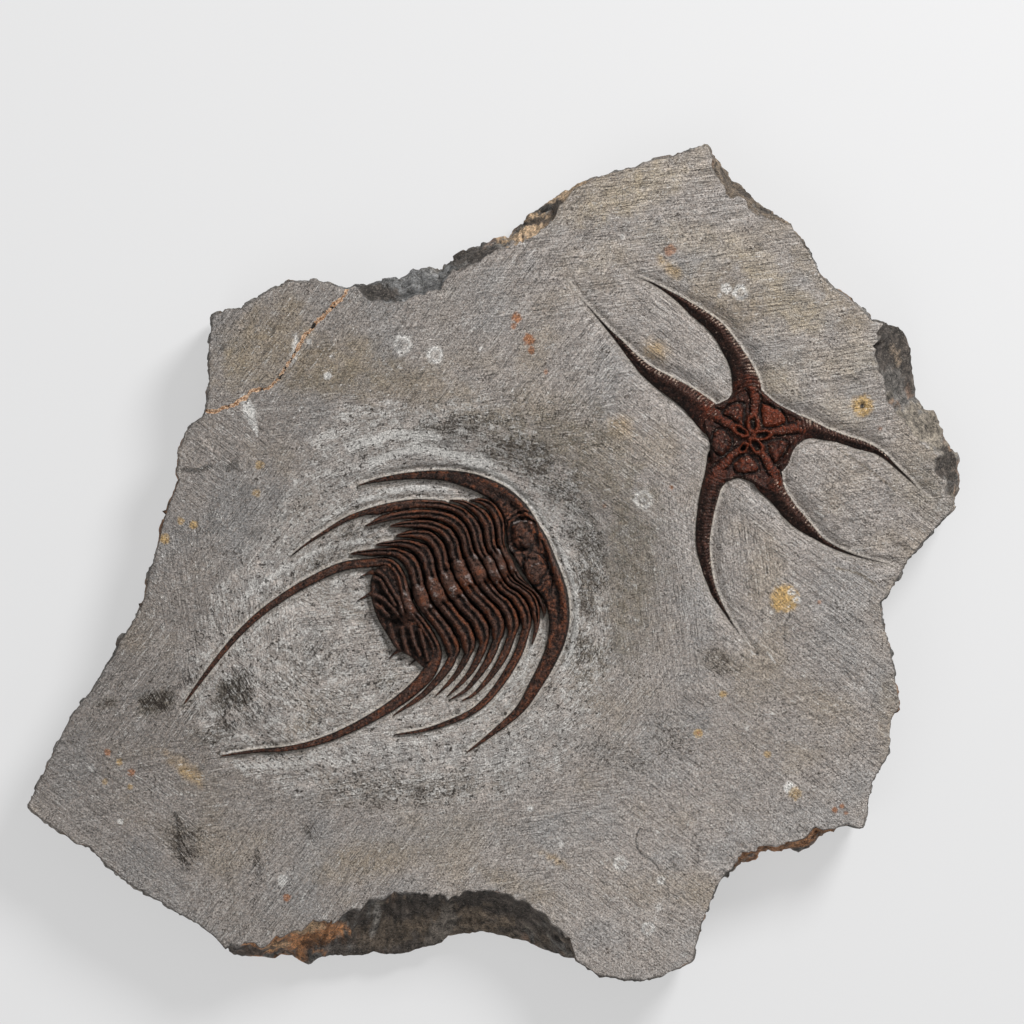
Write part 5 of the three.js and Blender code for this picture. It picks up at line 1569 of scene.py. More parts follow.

# Where the broken edge is coloured: middle, reaches, colour, strength.
WALL_REGIONS = [
    # painted shade: the dark scar colour on the bottom edge, which faces away from the light, and the
    # small dark dabs in the chips' crevices are partly painted shade
    ((-14, -132), (46, 18), SCAR_AND_SHADE, 0.97), ((20, -150), (22, 10), SCAR_AND_SHADE, 0.9),
    ((-8, -124), (34, 5), SCAR_AND_SHADE * 0.62, 0.7), ((-12, -133), (20, 8), BROWN_BREAK * 0.95, 0.8),
    ((-38, -136), (12, 7), BROWN_BREAK * 0.75, 0.7),
    ((2, -139), (18, 5), BROWN_BREAK * 0.8, 0.55), ((-43, -129), (1.4, 8), GREY_BREAK * 2.2, 0.6),
    ((-17, -134), (5, 8), GREY_BREAK * 1.1, 0.5), ((36, -140), (12, 4), BROWN_BREAK * 0.7, 0.5),
    ((-74, -137), (20, 12), IRON * 1.45, 0.97), ((-70, -132), (8, 3.5), TAN_BREAK * 1.4, 0.85),
    ((-79, -140), (5, 1.6), TAN_BREAK * 1.3, 0.7),
    ((-70, -145), (8, 3), IRON * 0.9, 0.8), ((-64, -139.5), (6, 1.8), IRON * 0.35, 0.85),
    ((-54, -141), (6, 4), SCAR_AND_SHADE, 0.85), ((-92, -142.5), (9, 3), SCAR_AND_SHADE, 0.9),
    ((108, -104), (26, 10), IRON, 0.95), ((-36, 100), (24, 11), BLUE_BREAK, 0.92),
    ((-43, 98.5), (9, 3.5), SCAR_AND_SHADE * 0.6, 0.9), ((-7, 113), (9, 5), SCAR_AND_SHADE * 0.6, 0.9),
    ((-25, 106), (8, 4), BLUE_BREAK * 1.35, 0.7), ((12, 124), (14, 9), TAN_BREAK * 1.2, 0.95),
    ((26, 136), (10, 6), TAN_BREAK * 1.1, 0.8), ((15, 125.5), (5, 2), SCAR_AND_SHADE * 0.4, 0.9),
    ((22, 130), (3, 3.5), SCAR_AND_SHADE * 0.4, 0.9), ((92, 138), (16, 14), BROWN_BREAK * 0.8, 0.95),
    ((86, 146), (4, 4), BROWN_BREAK * 1.3, 0.7), ((94, 135.5), (5, 2), SCAR_AND_SHADE * 0.45, 0.85),
    ((108, 122), (9, 5), BROWN_BREAK, 0.85), ((112, 116), (4, 2), SCAR_AND_SHADE * 0.4, 0.85),
    ((102, 129), (2.5, 2), SCAR_AND_SHADE * 0.45, 0.85), ((86, 142), (2, 3), SCAR_AND_SHADE * 0.5, 0.8),
    ((148, 79), (14, 20), SCAR_AND_SHADE * 0.66, 0.97), ((146.5, 78), (2.4, 2.4), BROWN_BREAK, 0.75),
    ((149, 75), (2.2, 3.4), BROWN_BREAK * 1.2, 0.85), ((146, 66), (7, 6), GREY_BREAK * 0.9, 0.55),
    ((154, 55), (8, 7), GREY_BREAK * 1.15, 0.95),
    ((160, 50), (14, 9), FAWN_BREAK, 0.9),
    ((165.8, 35.2), (6.6, 6.8), SCAR_AND_SHADE * 0.66, 0.97),
    ((-119, 20), (5, 30), IRON * 0.8, 0.7), ((147, -52), (5, 9), IRON, 0.6),
    ((-120, 38), (8, 10), IRON * 0.8, 0.55), ((-104, 84), (4, 16), GREY_BREAK, 0.8),
]


def blended(paint, colour, share):
    """Lays a colour over the points' paint, as thickly as the share says."""
    return paint + (np.asarray(colour) - paint) * np.clip(share, 0, 1)[:, None]


def near_rows(x, y, cx, cy, reach):
    """The rows of the points in a square round a centre."""
    return np.flatnonzero((np.abs(x - cx) < reach) & (np.abs(y - cy) < reach))


def blotch(x, y, ragged, cx, cy, along, across, degrees):
    """The rows that a soft-edged ragged patch covers, and how strongly."""
    rows = near_rows(x, y, cx, cy, 1.6 * max(along, across))
    u, v = turned(x[rows], y[rows], cx, cy, degrees)
    distance = np.hypot(u / along, v / across) + 0.35 * ragged[rows]
    return rows, 1 - smoothstep(distance, 0.35, 1.15)


def strongest(x, y, ragged, patches):
    """How strongly the strongest of the listed patches covers each point."""
    strengths = np.zeros(len(x))
    for cx, cy, along, across, degrees, strength in patches:
        rows, patch = blotch(x, y, ragged, cx, cy, along, across, degrees)
        strengths[rows] = np.maximum(strengths[rows], strength * patch)
    return strengths


def face_paint(x, y, around):
    """The face's colours, and how mottled, chalky, scraped and struck each point is."""
    trilobite, star = around[:2]
    flat = np.column_stack([x, y])
    broad = fractal(flat / 28, 301, 4, 0.55)
    middling = fractal(flat / 7, 310, 4, 0.6)
    ragged = fractal(flat / 3, 340, 3, 0.6)
    paint = np.tile(STONE, (len(x), 1))
    paint = blended(paint, STONE_BLUE, smoothstep(broad, 0.0, 0.6) * 0.5)
    paint = blended(paint, STONE_BROWN, smoothstep(-broad, 0.1, 0.8) * 0.4)
    # the stone is darker towards its left, and paler along its foot
    shade = 0.85 + 0.22 * smoothstep(x, -130, 90) + 0.18 * smoothstep(-y, 55, 110)
    shade = shade + 0.05 * smoothstep(y, 90, 130) - 0.06 * smoothstep(-x - y, 120, 200)
    paint = paint * shade[:, None]
    # broad stains, and the painted shade on the hollow's upper and right banks
    for cx, cy, along, across, degrees, colour, strength in STAINS_AND_SHADE:
        rows, patch = blotch(x, y, middling, cx, cy, along, across, degrees)
        share = patch * strength * (0.75 + 0.5 * ragged[rows])
        paint[rows] = blended(paint[rows], colour, share)
    # round the trilobite the ground is dusted white, less where it is pitted
    chalk = chalk_share(x, y)
    mottle = np.maximum(0.05 * chalk, strongest(x, y, middling, MOTTLES))
    inside = ellipse_distance(x, y, HOLLOW_CENTRE, HOLLOW_RADII)
    open_floor = 0.24 * (1 - smoothstep(inside, 0.62, 0.86))
    dusting = chalk * np.clip(0.24 + 0.8 * middling + open_floor - 0.55 * mottle, 0, 1)
    paint = blended(paint, CHALK, dusting)
    paint = blended(paint, STONE_OLIVE_AND_SHADE, 0.45 * mottle)
    near = bump(np.maximum(trilobite, 0), 3.2)
    paint = blended(paint, CHALK, near * np.clip(0.30 + 0.5 * ragged, 0, 1))
    paint = blended(paint, CHALK, bump(np.maximum(star, 0), 2.2) * 0.3)
    add_marks(paint, flat, ragged)
    scraped = np.zeros(len(x))
    for points, half, strength in SCRAPES:
        gap = nearest(flat, smooth_line(points, 1.0))[1]
        scraped = np.maximum(scraped, strength * bump(gap, half))
    chalky = np.clip(chalk * 0.85 + near * 0.4, 0, 1)
    return paint, mottle, chalky, scraped, strongest(x, y, middling, HATCHES)


def add_marks(paint, flat, ragged):
    """Paints the specks, the white rings and the drawn-out marks."""
    x, y = flat.T
    small = fractal(flat / 1.6, 391, 3, 0.6)
    for cx, cy, radius, colour, strength in SPECKS:
        rows = near_rows(x, y, cx, cy, radius * 1.7)
        distance = np.hypot(x[rows] - cx, y[rows] - cy) / radius + 0.25 * small[rows]
        paint[rows] = blended(paint[rows], colour, strength * (1 - smoothstep(distance, 0.7, 1.1)))
    for cx, cy, radius, width in RINGS:
        rows = near_rows(x, y, cx, cy, radius + 3 * width)
        distance = np.hypot(x[rows] - cx, y[rows] - cy) + 0.35 * ragged[rows]
        ring = bump(distance - radius, width) + 0.3 * (distance < radius)
        paint[rows] = blended(paint[rows], WHITE, ring * np.clip(0.8 + 0.6 * small[rows], 0, 1))
    for points, half, colour, strength in STREAKS:
        line = smooth_line(points, 0.4)
        lows = line.min(axis=0) - 3 * half - 1
        highs = line.max(axis=0) + 3 * half + 1
        rows = np.flatnonzero((x > lows[0]) & (x < highs[0]) & (y > lows[1]) & (y < highs[1]))
        index, gap = nearest(flat[rows], line)
        # a third value along the line is its own half width there
        width = half if line.shape[1] == 2 else line[index, 2]
        gap = gap / width + 0.5 * small[rows]
        paint[rows] = blended(paint[rows], colour, strength * (1 - smoothstep(gap, 0.6, 1.25)))


def brush_weights(x, y):
    """How strongly the brushing runs in each of four directions, 45 degrees apart."""
    total_x = np.zeros(len(x))
    total_y = np.zeros(len(x))
    for cx, cy, degrees in BRUSHING:
        pull = 1 / (40 + (x - cx) ** 2 + (y - cy) ** 2) ** 1.5
        total_x += pull * math.cos(2 * math.radians(degrees))
        total_y += pull * math.sin(2 * math.radians(degrees))
    direction = np.arctan2(total_y, total_x) / 2
    distance = ellipse_distance(x, y, HOLLOW_CENTRE, HOLLOW_RADII)
    tangent = np.arctan2(
        (x - HOLLOW_CENTRE[0]) / HOLLOW_RADII[0] ** 2,
        -(y - HOLLOW_CENTRE[1]) / HOLLOW_RADII[1] ** 2)
    bowl = smoothstep(distance, 0.5, 0.75) * (1 - smoothstep(distance, 1.02, 1.25))
    vector = np.column_stack([np.cos(2 * direction), np.sin(2 * direction)])
    round_bowl = np.column_stack([np.cos(2 * tangent), np.sin(2 * tangent)])
    both = mixed(vector, round_bowl, bowl[:, None])
    direction = np.arctan2(both[:, 1], both[:, 0]) / 2
    direction += 0.3 * noise(solid_points(x, y) / 18, 431)
    return [np.clip(np.cos(2 * (direction - math.radians(45 * i))), 0, 1) for i in range(4)]


def wall_paint(points):
    """The broken edge's colours, from where each chip lies."""
    x, y, z = points.T
    tone = fractal(points / 6, 501, 4, 0.55)
    beds = bedding(points)
    paint = np.tile(GREY_BREAK, (len(x), 1)) * (1 + 0.3 * tone)[:, None]
    brown = smoothstep(fractal(points / 14, 505, 3) + 0.3 * beds, 0.0, 0.7)
    paint = blended(paint, STONE_BROWN * 0.85, brown * 0.65)
    thin_iron = smoothstep(fractal(points / 9, 509, 4, 0.6) + 0.25 * beds, 0.3, 0.6)
    paint = blended(paint, IRON * 0.7, thin_iron * 0.4)
    # dust lies on the wall's top border, just under the face
    high = z - FACE_HEIGHT + 1.6 * fractal(points / 5, 527, 3, 0.6)
    paint = blended(paint, STONE * 0.95, 0.85 * smoothstep(high, -4.0, -1.2))
    edge = 0.42 * fractal(points / 7, 513, 4, 0.75)
    # the listed colours run down from the face and lean over towards the back
    patches = fractal(points / 8, 523, 4, 0.65) + 0.35 * beds + z / 16
    lean = 0.7 * np.clip(17 - z, 0, None)
    for centre, reach, colour, strength in WALL_REGIONS:
        distance = np.hypot((x + lean - centre[0]) / reach[0], (y - centre[1]) / reach[1]) + edge
        share = 1 - smoothstep(distance, 0.88, 1.02)
        rusty = colour[0] > 2.0 * colour[2]
        small = max(reach) < 6
        if rusty:
            # rust breaks up on the way down, most of all at the plate's two ends
            lowest = 0.7 if abs(centre[0]) > 115 else 0.35
            share *= smoothstep(patches - lowest, -0.25, 0.35)
        if small:
            share *= smoothstep(z + 7 * edge, 6, 13)
        paint = blended(paint, colour, share * strength)
    mottled = 1 + 0.70 * fractal(points / 2.6, 517, 4, 0.75) + 0.25 * beds
    return paint * np.clip(mottled, 0.35, 2.0)[:, None]


# ------------------------------------------------------------------ materials

def add_node(tree, kind, inputs, output=0, **settings):
    """One shader node with its settings and inputs; gives the output that is wanted."""
    node = tree.nodes.new("ShaderNode" + kind)
    for name, value in settings.items():
        setattr(node, name, value)
    for key, value in inputs.items():
        if isinstance(value, Value):
            tree.links.new(value.socket, node.inputs[key])
        else:
            node.inputs[key].default_value = value
    return Value(tree, node.outputs[output])


class Value:
    """A number or a colour that nodes work out. It can stand in sums like a plain number."""

    def __init__(self, tree, socket):
        self.tree = tree
        self.socket = socket

    def math(self, operation, other):
        return add_node(self.tree, "Math", {0: self, 1: other}, operation=operation)

    def __add__(self, other):
        return self.math("ADD", other)

    def __sub__(self, other):
        return self.math("SUBTRACT", other)

    def __mul__(self, other):
        return self.math("MULTIPLY", other)

    __radd__ = __add__
    __rmul__ = __mul__

    def at_least(self, least):
        return self.math("MAXIMUM", least)

    def span(self, low, high, to_low=0.0, to_high=1.0):
        """This value from low to high, eased onto another range."""
        inputs = {0: self, 1: low, 2: high, 3: to_low, 4: to_high}
        return add_node(self.tree, "MapRange", inputs, interpolation_type="SMOOTHSTEP")

    def between(self, first, second):
        """Runs from the first value to the second while this one runs from 0 to 1."""
        return add_node(self.tree, "Mix", {0: self, 2: first, 3: second}, data_type="FLOAT")

    def blend(self, first, second):
        """Runs from the first colour to the second while this value runs from 0 to 1."""
        first, second = (c if isinstance(c, Value) else (*c, 1) for c in (first, second))
        return add_node(self.tree, "Mix", {0: self, 6: first, 7: second}, 2, data_type="RGBA")

    def scaled(self, factor):
        """A colour made lighter or darker by a value near 1."""
        return add_node(self.tree, "VectorMath", {0: self, "Scale": factor}, operation="SCALE")

    def stretched(self, size, degrees=0):
        """Coordinates in units of the given size, turned about Z."""
        inputs = {"Vector": self, "Rotation": (0, 0, math.radians(degrees)), "Scale": size}
        return add_node(self.tree, "Mapping", inputs, vector_type="TEXTURE")

    def warped(self, size, amount, place=None):
        """Coordinates pushed about by soft noise, so that nothing drawn on them is straight."""
        inputs = {"Vector": place or self, "Scale": 1 / size, "Detail": 2.0}
        push = add_node(self.tree, "TexNoise", inputs, "Color")
        inputs = {0: push, 1: (amount, amount, amount), 2: self}
        return add_node(self.tree, "VectorMath", inputs, operation="MULTIPLY_ADD")

    def channel(self, name):
        return add_node(self.tree, "SeparateColor", {0: self}, name)


class Surface:
    """A material on a Principled shader, whose colour is laid on coat by coat."""

    def __init__(self, name):
        self.material = bpy.data.materials.new(name)
        self.material.use_nodes = True
        self.tree = self.material.node_tree
        self.tree.nodes.clear()
        output = self.tree.nodes.new("ShaderNodeOutputMaterial")
        self.shader = self.tree.nodes.new("ShaderNodeBsdfPrincipled")
        self.tree.links.new(self.shader.outputs[0], output.inputs["Surface"])
        self.place = add_node(self.tree, "TexCoord", {}, "Object").stretched((MM, MM, MM))

    def noise(self, size, detail=3.0, roughness=0.5, place=None):
        """Soft noise about 0.5."""
        inputs = {"Vector": place or self.place, "Scale": 1 / size}
        inputs.update({"Detail": detail, "Roughness": roughness})
        return add_node(self.tree, "TexNoise", inputs)

    def wave(self, *settings):
        """Soft noise about 0."""
        return self.noise(*settings) - 0.5

    def cells(self, place):
        """A value of its own, from -0.5 to 0.5, for each of many flat-sided cells."""
        colour = add_node(self.tree, "TexVoronoi", {"Vector": place, "Scale": 1.0}, "Color")
        return colour.channel("Red") - 0.5

    def attribute(self, name, channel="Color"):
        """A colour stored with the points, or one channel of it."""
        if channel in ("Color", "Alpha"):
            return add_node(self.tree, "Attribute", {}, channel, attribute_name=name)
        return self.attribute(name).channel(channel)

    def coat(self, share, colour):
        """Lays a colour over what is there, as thickly as the share says."""
        self.colour = share.blend(self.colour, colour)

    def toned(self, tone, least):
        self.colour = self.colour.scaled(tone.at_least(least))

    def finish(self, height, depth, roughness, specular):
        """Joins the colour, the fine relief and the roughness to the shader."""
        inputs = {"Strength": 1.0, "Distance": depth * MM, "Height": height}
        bump_node = add_node(self.tree, "Bump", inputs)
        made = {"Normal": bump_node, "Base Color": self.colour, "Roughness": roughness}
        for name, value in made.items():
            self.tree.links.new(value.socket, self.shader.inputs[name])
        self.shader.inputs["Specular IOR Level"].default_value = specular
        return self.material


def line_fossils(s, wander):
    """Along the fossils, a broken line of cream dust, painted brighter on the lit side as a highlight,
    and painted shade on their shaded side and in the crevice at their foot.
    """
    broken = s.noise(1.3, 4.0, 0.75).span(0.42, 0.60, 0.15, 1.0)
    thin = s.attribute("sides", "Blue").span(0.05, 0.5, 0.4, 0.9)
    for channel, strength in (("Red", 0.95), ("Green", thin)):
        to_fossil = s.attribute("edges", channel)
        gap = to_fossil + wander
        side = s.attribute("sides", channel)
        # a broken line of cream dust, painted brighter on the lit side as a highlight
        line = gap.span(0.95, 0.35) * (side.span(-0.6, 0.4, 0.5, 1.0) * broken)
        s.coat(line * strength, (0.66, 0.60, 0.52))
        # a thin brown line runs a little way off
        s.coat(gap.span(1.1, 1.6) * gap.span(2.1, 1.6) * 0.32, STONE_OLIVE_AND_SHADE * 0.6)
        # painted shade: the rock just off the fossils' shaded side is darkened
        s.coat(gap.span(1.1, 0.2) * side.span(0.1, -0.5) * 0.30, STONE_OLIVE_AND_SHADE * 0.5)
        # painted shade: near-black in the crevice where the rock meets the fossils
        s.coat(to_fossil.span(0.05, -0.35), (0.016, 0.011, 0.009))


def line_edges(s, wander):
    """The glued crack, iron-stained with dark gaps, and the worn brink."""
    crack_gap = s.attribute("edges", "Blue") + wander * 1.3 + s.wave(4.5, 3.0, 0.6) * 1.7
    sparkle = s.noise(0.85, 3.0, 0.75).span(0.42, 0.58)
    s.coat(crack_gap.span(0.72, 0.5), sparkle.blend(IRON * 0.75, (0.80, 0.56, 0.38)))
    gaps = s.noise(2.6, 3.0, 0.6).span(0.56, 0.60)
    s.coat(crack_gap.span(0.75, 0.5) * gaps, DARK * 0.35)
    # the brink is dark in places, iron-stained in others
    brink_gap = s.attribute("edges", "Alpha") + wander * 0.8
    brink = brink_gap.span(0.6, 0.0) * s.noise(5.0).span(0.4, 0.6, 0.1, 0.8)
    s.coat(brink, s.attribute("traits", "Blue").blend(DARK * 2, IRON * 0.7))


def brushed_stone():
    """The plate's face: brushed grey mudstone with dust in its scratches."""
    s = Surface("brushed_mudstone")
    mottle = s.attribute("traits", "Red")
    chalky = s.attribute("traits", "Green")
    strokes = 0.0
    scratches = 0.0
    bent = s.place.warped(3.2, 1.2)
    for i, channel in enumerate(("Red", "Green", "Blue", "Alpha")):
        weight = s.attribute("brush", channel)
        strokes += s.wave(1.0, 4.0, 0.7, bent.stretched((3.6, 0.55, 3.0), 45 * i)) * weight
        scratches += s.wave(1.0, 2.0, 0.6, bent.stretched((8.0, 0.38, 3.0), 45 * i + 8)) * weight
    # round the trilobite the strokes sweep about the hollow instead
    around = s.attribute("sweep").warped(2.6, 2.0, s.place)
    swept_share = s.attribute("sweep", "Blue") * chalky
    sweep_broad = s.wave(1.0, 5.0, 0.75, around.stretched((5.0, 1.0, 1e6)))
    sweep_fine = s.wave(1.0, 3.0, 0.65, around.stretched((7.0, 0.4, 1e6), 2))
    strokes = swept_share.between(strokes, sweep_broad)
    scratches = swept_share.between(scratches, sweep_fine)
    grain = s.wave(0.58, 2.0, 0.8)
    speckle = s.wave(0.9, 4.0, 0.75)
    cloud = s.wave(5.0, 5.0, 0.65)
    patchy = s.wave(1.9, 4.0, 0.7)
    clusters = s.noise(3.4, 4.0, 0.65)
    rough_cut = chalky.between(1.0, 1.35)
    stroke_depth = chalky.between(s.attribute("sides", "Alpha").between(1.3, 3.0), 2.3)
    tone = strokes * 1.7 + scratches * stroke_depth + cloud * 0.8 + patchy * 0.8
    s.colour = s.attribute("paint")
    s.toned(tone * rough_cut + 1.03, 0.2)
    # warm and cool flecks
    warm = s.wave(1.0, 4.0, 0.7)
    s.coat(warm.span(0.02, 0.18, 0.0, 0.4), (0.305, 0.232, 0.185))
    s.coat(warm.span(-0.02, -0.18, 0.0, 0.3), (0.245, 0.255, 0.265))
    # thin dark and pale scratches, in clusters
    s.coat(scratches.span(-0.07, -0.16) * clusters.span(0.42, 0.58) * 0.62, DARK * 1.3)
    s.coat(scratches.span(0.09, 0.18) * clusters.span(0.56, 0.42) * 0.42, WHITE * 0.85)
    # dark pits shaped by the strokes, thick where the face is mottled
    dark = s.noise(0.75, 4.0, 0.75) * 0.75 + s.noise(2.0) * 0.25
    dark += strokes * mottle.between(0.4, 0.85) + mottle * 0.13 + cloud * 0.32
    dark = dark.span(0.59, 0.645, 0.0, 0.86)
    s.coat(dark, (0.056, 0.045, 0.037))
    specks = s.noise(0.85, 2.0, 0.6) + mottle * 0.03 + chalky * 0.012
    specks = specks.span(0.655, 0.69, 0.0, 0.92) * chalky.between(0.5, 1.0)
    s.coat(specks, (0.030, 0.024, 0.021))
    # pale sweeps left by the scraping
    scraped = sweep_broad * 2.4 + speckle * 1.2 + sweep_fine * 1.6
    scraped = scraped * chalky.between(0.3, 1.0) + s.attribute("traits", "Alpha")
    s.coat(scraped.span(0.36, 0.72) * 0.88, WHITE)
    # pale dust
    dust = s.noise(0.7, 5.0, 0.8) * 0.65 + s.noise(2.0) * 0.35 + strokes * -0.3
    dust += scratches * 0.35 + chalky * 0.09 + cloud * -0.25
    dust = dust.span(0.575, 0.66, 0.0, 0.75)
    s.coat(dust, WHITE * 0.95)
    s.toned((grain * 3.3 + speckle * 1.2) * chalky.between(1.0, 0.85) + 1.0, 0.2)
    # black pits show through the dust round the trilobite
    pits = s.noise(1.5, 3.0, 0.55) + clusters * 0.3
    pits = pits.span(0.775, 0.81, 0.0, 0.9) * chalky
    s.coat(pits, (0.036, 0.029, 0.024))
    # patches of short dark strokes
    zone = s.attribute("sweep", "Alpha")
    struck = s.noise(1.0, 3.0, 0.75, bent.stretched((2.8, 0.42, 3.0), -62)) * 0.7
    struck += s.noise(1.0, 3.0, 0.75, bent.stretched((1.5, 0.6, 3.0), 35)) * 0.3
    struck += zone * 0.085 + grain * 0.12
    struck = struck.span(0.575, 0.625) * zone.span(0.08, 0.45, 0.0, 0.94)
    s.coat(struck, (0.034, 0.026, 0.021))
    wander = s.wave(1.1, 4.0, 0.7) * 1.3
    line_fossils(s, wander)
    line_edges(s, wander)
    height = strokes + scratches * 0.4 + grain + speckle * 0.7
    height = height + dark * -0.5 + dust * 0.2 + struck * -1.0 + pits * -0.8
    return s.finish(height * rough_cut, 0.32, grain.span(-0.2, 0.2, 0.8, 0.97), 0.25)


def broken_stone():
    """The plate's broken edges and back: thin beds broken into small crisp facets."""
    s = Surface("broken_mudstone")
    grain = s.wave(0.62, 2.0, 0.8)
    chips = s.wave(2.4, 5.0, 0.7)
    bent = s.place.warped(4.5, 2.4)
    beds = s.wave(1.0, 4.0, 0.75, bent.stretched((7.0, 7.0, 0.8)))
    splinters = s.cells(s.place.warped(1.6, 1.3).stretched((2.2, 2.2, 1.1)))
    flakes = s.cells(s.place.warped(0.9, 0.6).stretched((1.0, 1.0, 0.7)))
    s.colour = s.attribute("paint")
    tone = grain * 3.6 + chips * 1.7 + beds * 1.5 + splinters * 0.42 + flakes * 0.36
    s.toned(tone + 1.04, 0.22)
    s.coat(s.noise(0.75, 3.0, 0.75).span(0.575, 0.635, 0.0, 0.6), (0.31, 0.272, 0.232))
    black = (s.noise(1.2, 4.0, 0.75) + beds * -0.35).span(0.565, 0.635, 0.0, 0.8)
    s.coat(black, DARK * 0.5)
    height = grain + chips * 1.4 + beds * 1.5 + splinters * 0.35 + black * -0.4
    return s.finish(height, 0.8, grain.span(-0.2, 0.2, 0.62, 0.9), 0.4)


def shell():
    """The trilobite's mineral shell: dark red-brown, redder and smoother on its ridges, with painted
    shade in its grooves, a painted sheen and painted highlights on its crests and knobs, and pale
    specks that are partly painted glints.
    """
    s = Surface("trilobite_shell")
    wear_and_painted_light, iron, pale = (s.attribute("traits", name) for name in ("Red", "Green", "Blue"))
    patches = s.wave(2.3, 5.0, 0.7)
    grain = s.wave(0.60, 2.0, 0.8)
    flakes = s.wave(1.15, 4.0, 0.75)
    # painted shade: the shell is darkest where it lies low, in its grooves, and lighter and redder on
    # its crests
    ridge = (wear_and_painted_light + patches * 0.9 + flakes).span(-0.05, 1.0)
    s.colour = ridge.blend((0.008, 0.0052, 0.0044), (0.098, 0.050, 0.036))
    rust = (iron + patches * 1.2).span(0.20, 1.0, 0.0, 0.85)
    s.coat(rust * ridge, (0.205, 0.060, 0.022))
    # painted sheen: grey patches on the ridges
    s.coat(s.noise(2.0, 5.0, 0.75).span(0.53, 0.66, 0.0, 0.6) * ridge, (0.125, 0.100, 0.092))
    # pale coat: painted highlights on the knobs, the head's folds and the sharpest crests, with pale
    # patches
    s.coat((pale + grain * 1.2).span(0.4, 0.95, 0.0, 0.8), (0.29, 0.25, 0.235))
    # pale specks, partly dust and partly painted glints
    s.coat(s.noise(0.66, 3.0, 0.8).span(0.61, 0.72, 0.0, 0.45), (0.20, 0.145, 0.115))
    s.toned(grain * 5.0 + flakes * 1.6 + 1.05, 0.10)
    height = grain * 1.1 + flakes * 1.4 + patches * 1.2
    roughness = (s.noise(1.2, 3.0, 0.6) + pale * 0.4).span(0.35, 0.75, 0.25, 0.48)
    return s.finish(height, 0.5, roughness, 0.22)


def ossicles():
    """The star's plates: dark brown, with pale dust and painted highlights on their crests, painted
    shade in the arms' hollows, pale specks that are partly painted glints, and red on the disc.
    """
    s = Surface("star_ossicles")
    wear_and_painted_light, red, pale = (s.attribute("traits", name) for name in ("Red", "Green", "Blue"))
    patches = s.wave(1.5, 4.0, 0.7)
    grain = s.wave(0.58, 2.0, 0.8)
    # painted light: on the arms, darker in the hollows and lighter on the crests of the lit flank
    ridge = (wear_and_painted_light + patches * 0.8).span(0.0, 1.0)
    s.colour = ridge.blend((0.007, 0.0040, 0.0034), (0.070, 0.032, 0.023))
    flush = (red + patches * 0.9).span(0.2, 1.1, 0.0, 0.92)
    s.coat(flush * ridge.span(0.0, 0.8, 0.3, 1.0), (0.125, 0.024, 0.009))
    # pale coat: painted highlights on the ribs of the arms' lit flanks, with pale dust
    s.coat((pale + grain * 2.0).span(0.38, 1.0, 0.0, 0.75), (0.38, 0.30, 0.24))
    # pale specks, partly dust and partly painted glints
    s.coat(s.noise(0.66, 3.0, 0.8).span(0.61, 0.72, 0.0, 0.42), (0.24, 0.155, 0.125))
    s.toned(grain * 4.8 + patches * 1.2 + 1.05, 0.10)
    roughness = s.noise(1.0, 3.0, 0.6).span(0.35, 0.7, 0.24, 0.46)
    return s.finish(grain + patches, 0.36, roughness, 0.17)


FACE_FINISH = brushed_stone()
BREAK_FINISH = broken_stone()
SHELL_FINISH = shell()
STAR_FINISH = ossicles()


# ------------------------------------------------------------------ build: the two stones

def paint_stone(thing, face_count, around):
    """Gives a stone its colours, and the distances that its face's finish draws lines from."""
    mesh = thing.data
    points = np.empty(len(mesh.vertices) * 3)
    mesh.vertices.foreach_get("co", points)
    points = points.reshape(-1, 3) / MM
    flat = points[:face_count, :2]
    x, y = flat.T
    trilobite, star, lit, lit_star, size = around
    paint = wall_paint(points)
    paint[:face_count], mottle, chalky, scraped, struck = face_paint(x, y, around)
    # where the brink is rusty, and how plainly the brushing shows
    tinted = smoothstep(fractal(flat / 12, 613, 2), 0.2, 0.5) * (x < 120) * (y < 50)
    brushed = smoothstep(x + y, 30, 130) * np.clip(0.75 + fractal(flat / 22, 617, 3), 0, 1)
    to_crack = distance_to_line(flat, CRACK_LINE)
    far = 9.0
    measures = {
        "traits": (0.0, [mottle, chalky, tinted, scraped]),
        "edges": (far, [trilobite, star, to_crack, inside_brink(x, y)]),
        "sides": (0.0, [lit, lit_star, np.clip(size / 4, 0, 1), brushed]),
        "brush": (0.0, brush_weights(x, y)),
        "sweep": (0.0, [*sweep_place(x, y), struck]),
    }
    set_colours(thing, "paint", np.clip(paint, 0.003, 0.95))
    for name, (elsewhere, columns) in measures.items():
        values = np.full((len(points), 4), elsewhere)
        values[:face_count] = np.column_stack(columns)
        set_colours(thing, name, values)
    mesh.materials.append(FACE_FINISH)
    mesh.materials.append(BREAK_FINISH)


SLAB_LOOP, CORNER_LOOP = stone_loops()


def in_corner(x, y):
    """True within the broken-off corner."""
    found = (x < -48) & (y > 50)
    found[found] = inside_loop(x[found], y[found], CORNER_LOOP[:, 0, :2])
    return found


def inside_slab(x, y):
    return (inside_brink(x, y) > 0.35) & ~in_corner(x, y)


def inside_corner(x, y):
    return (inside_brink(x, y) > 0.35) & in_corner(x, y)


slab = build_stone("slab", SLAB_LOOP, inside_slab)
corner = build_stone("corner", CORNER_LOOP, inside_corner)
pieces = [(slab, "matrix_slab", "mudstone"), (corner, "corner_fragment", "mudstone")]


# ------------------------------------------------------------------ build: the fossils

def add_fossil(name, node, slot, built, material, traits):
    """Makes a fossil's piece and lists the node that it stands for."""
    thing = make_object(name, *built[:2])
    set_colours(thing, "traits", np.clip(traits, 0, 1))
    thing.data.materials.append(material)
    pieces.append((thing, node, slot))


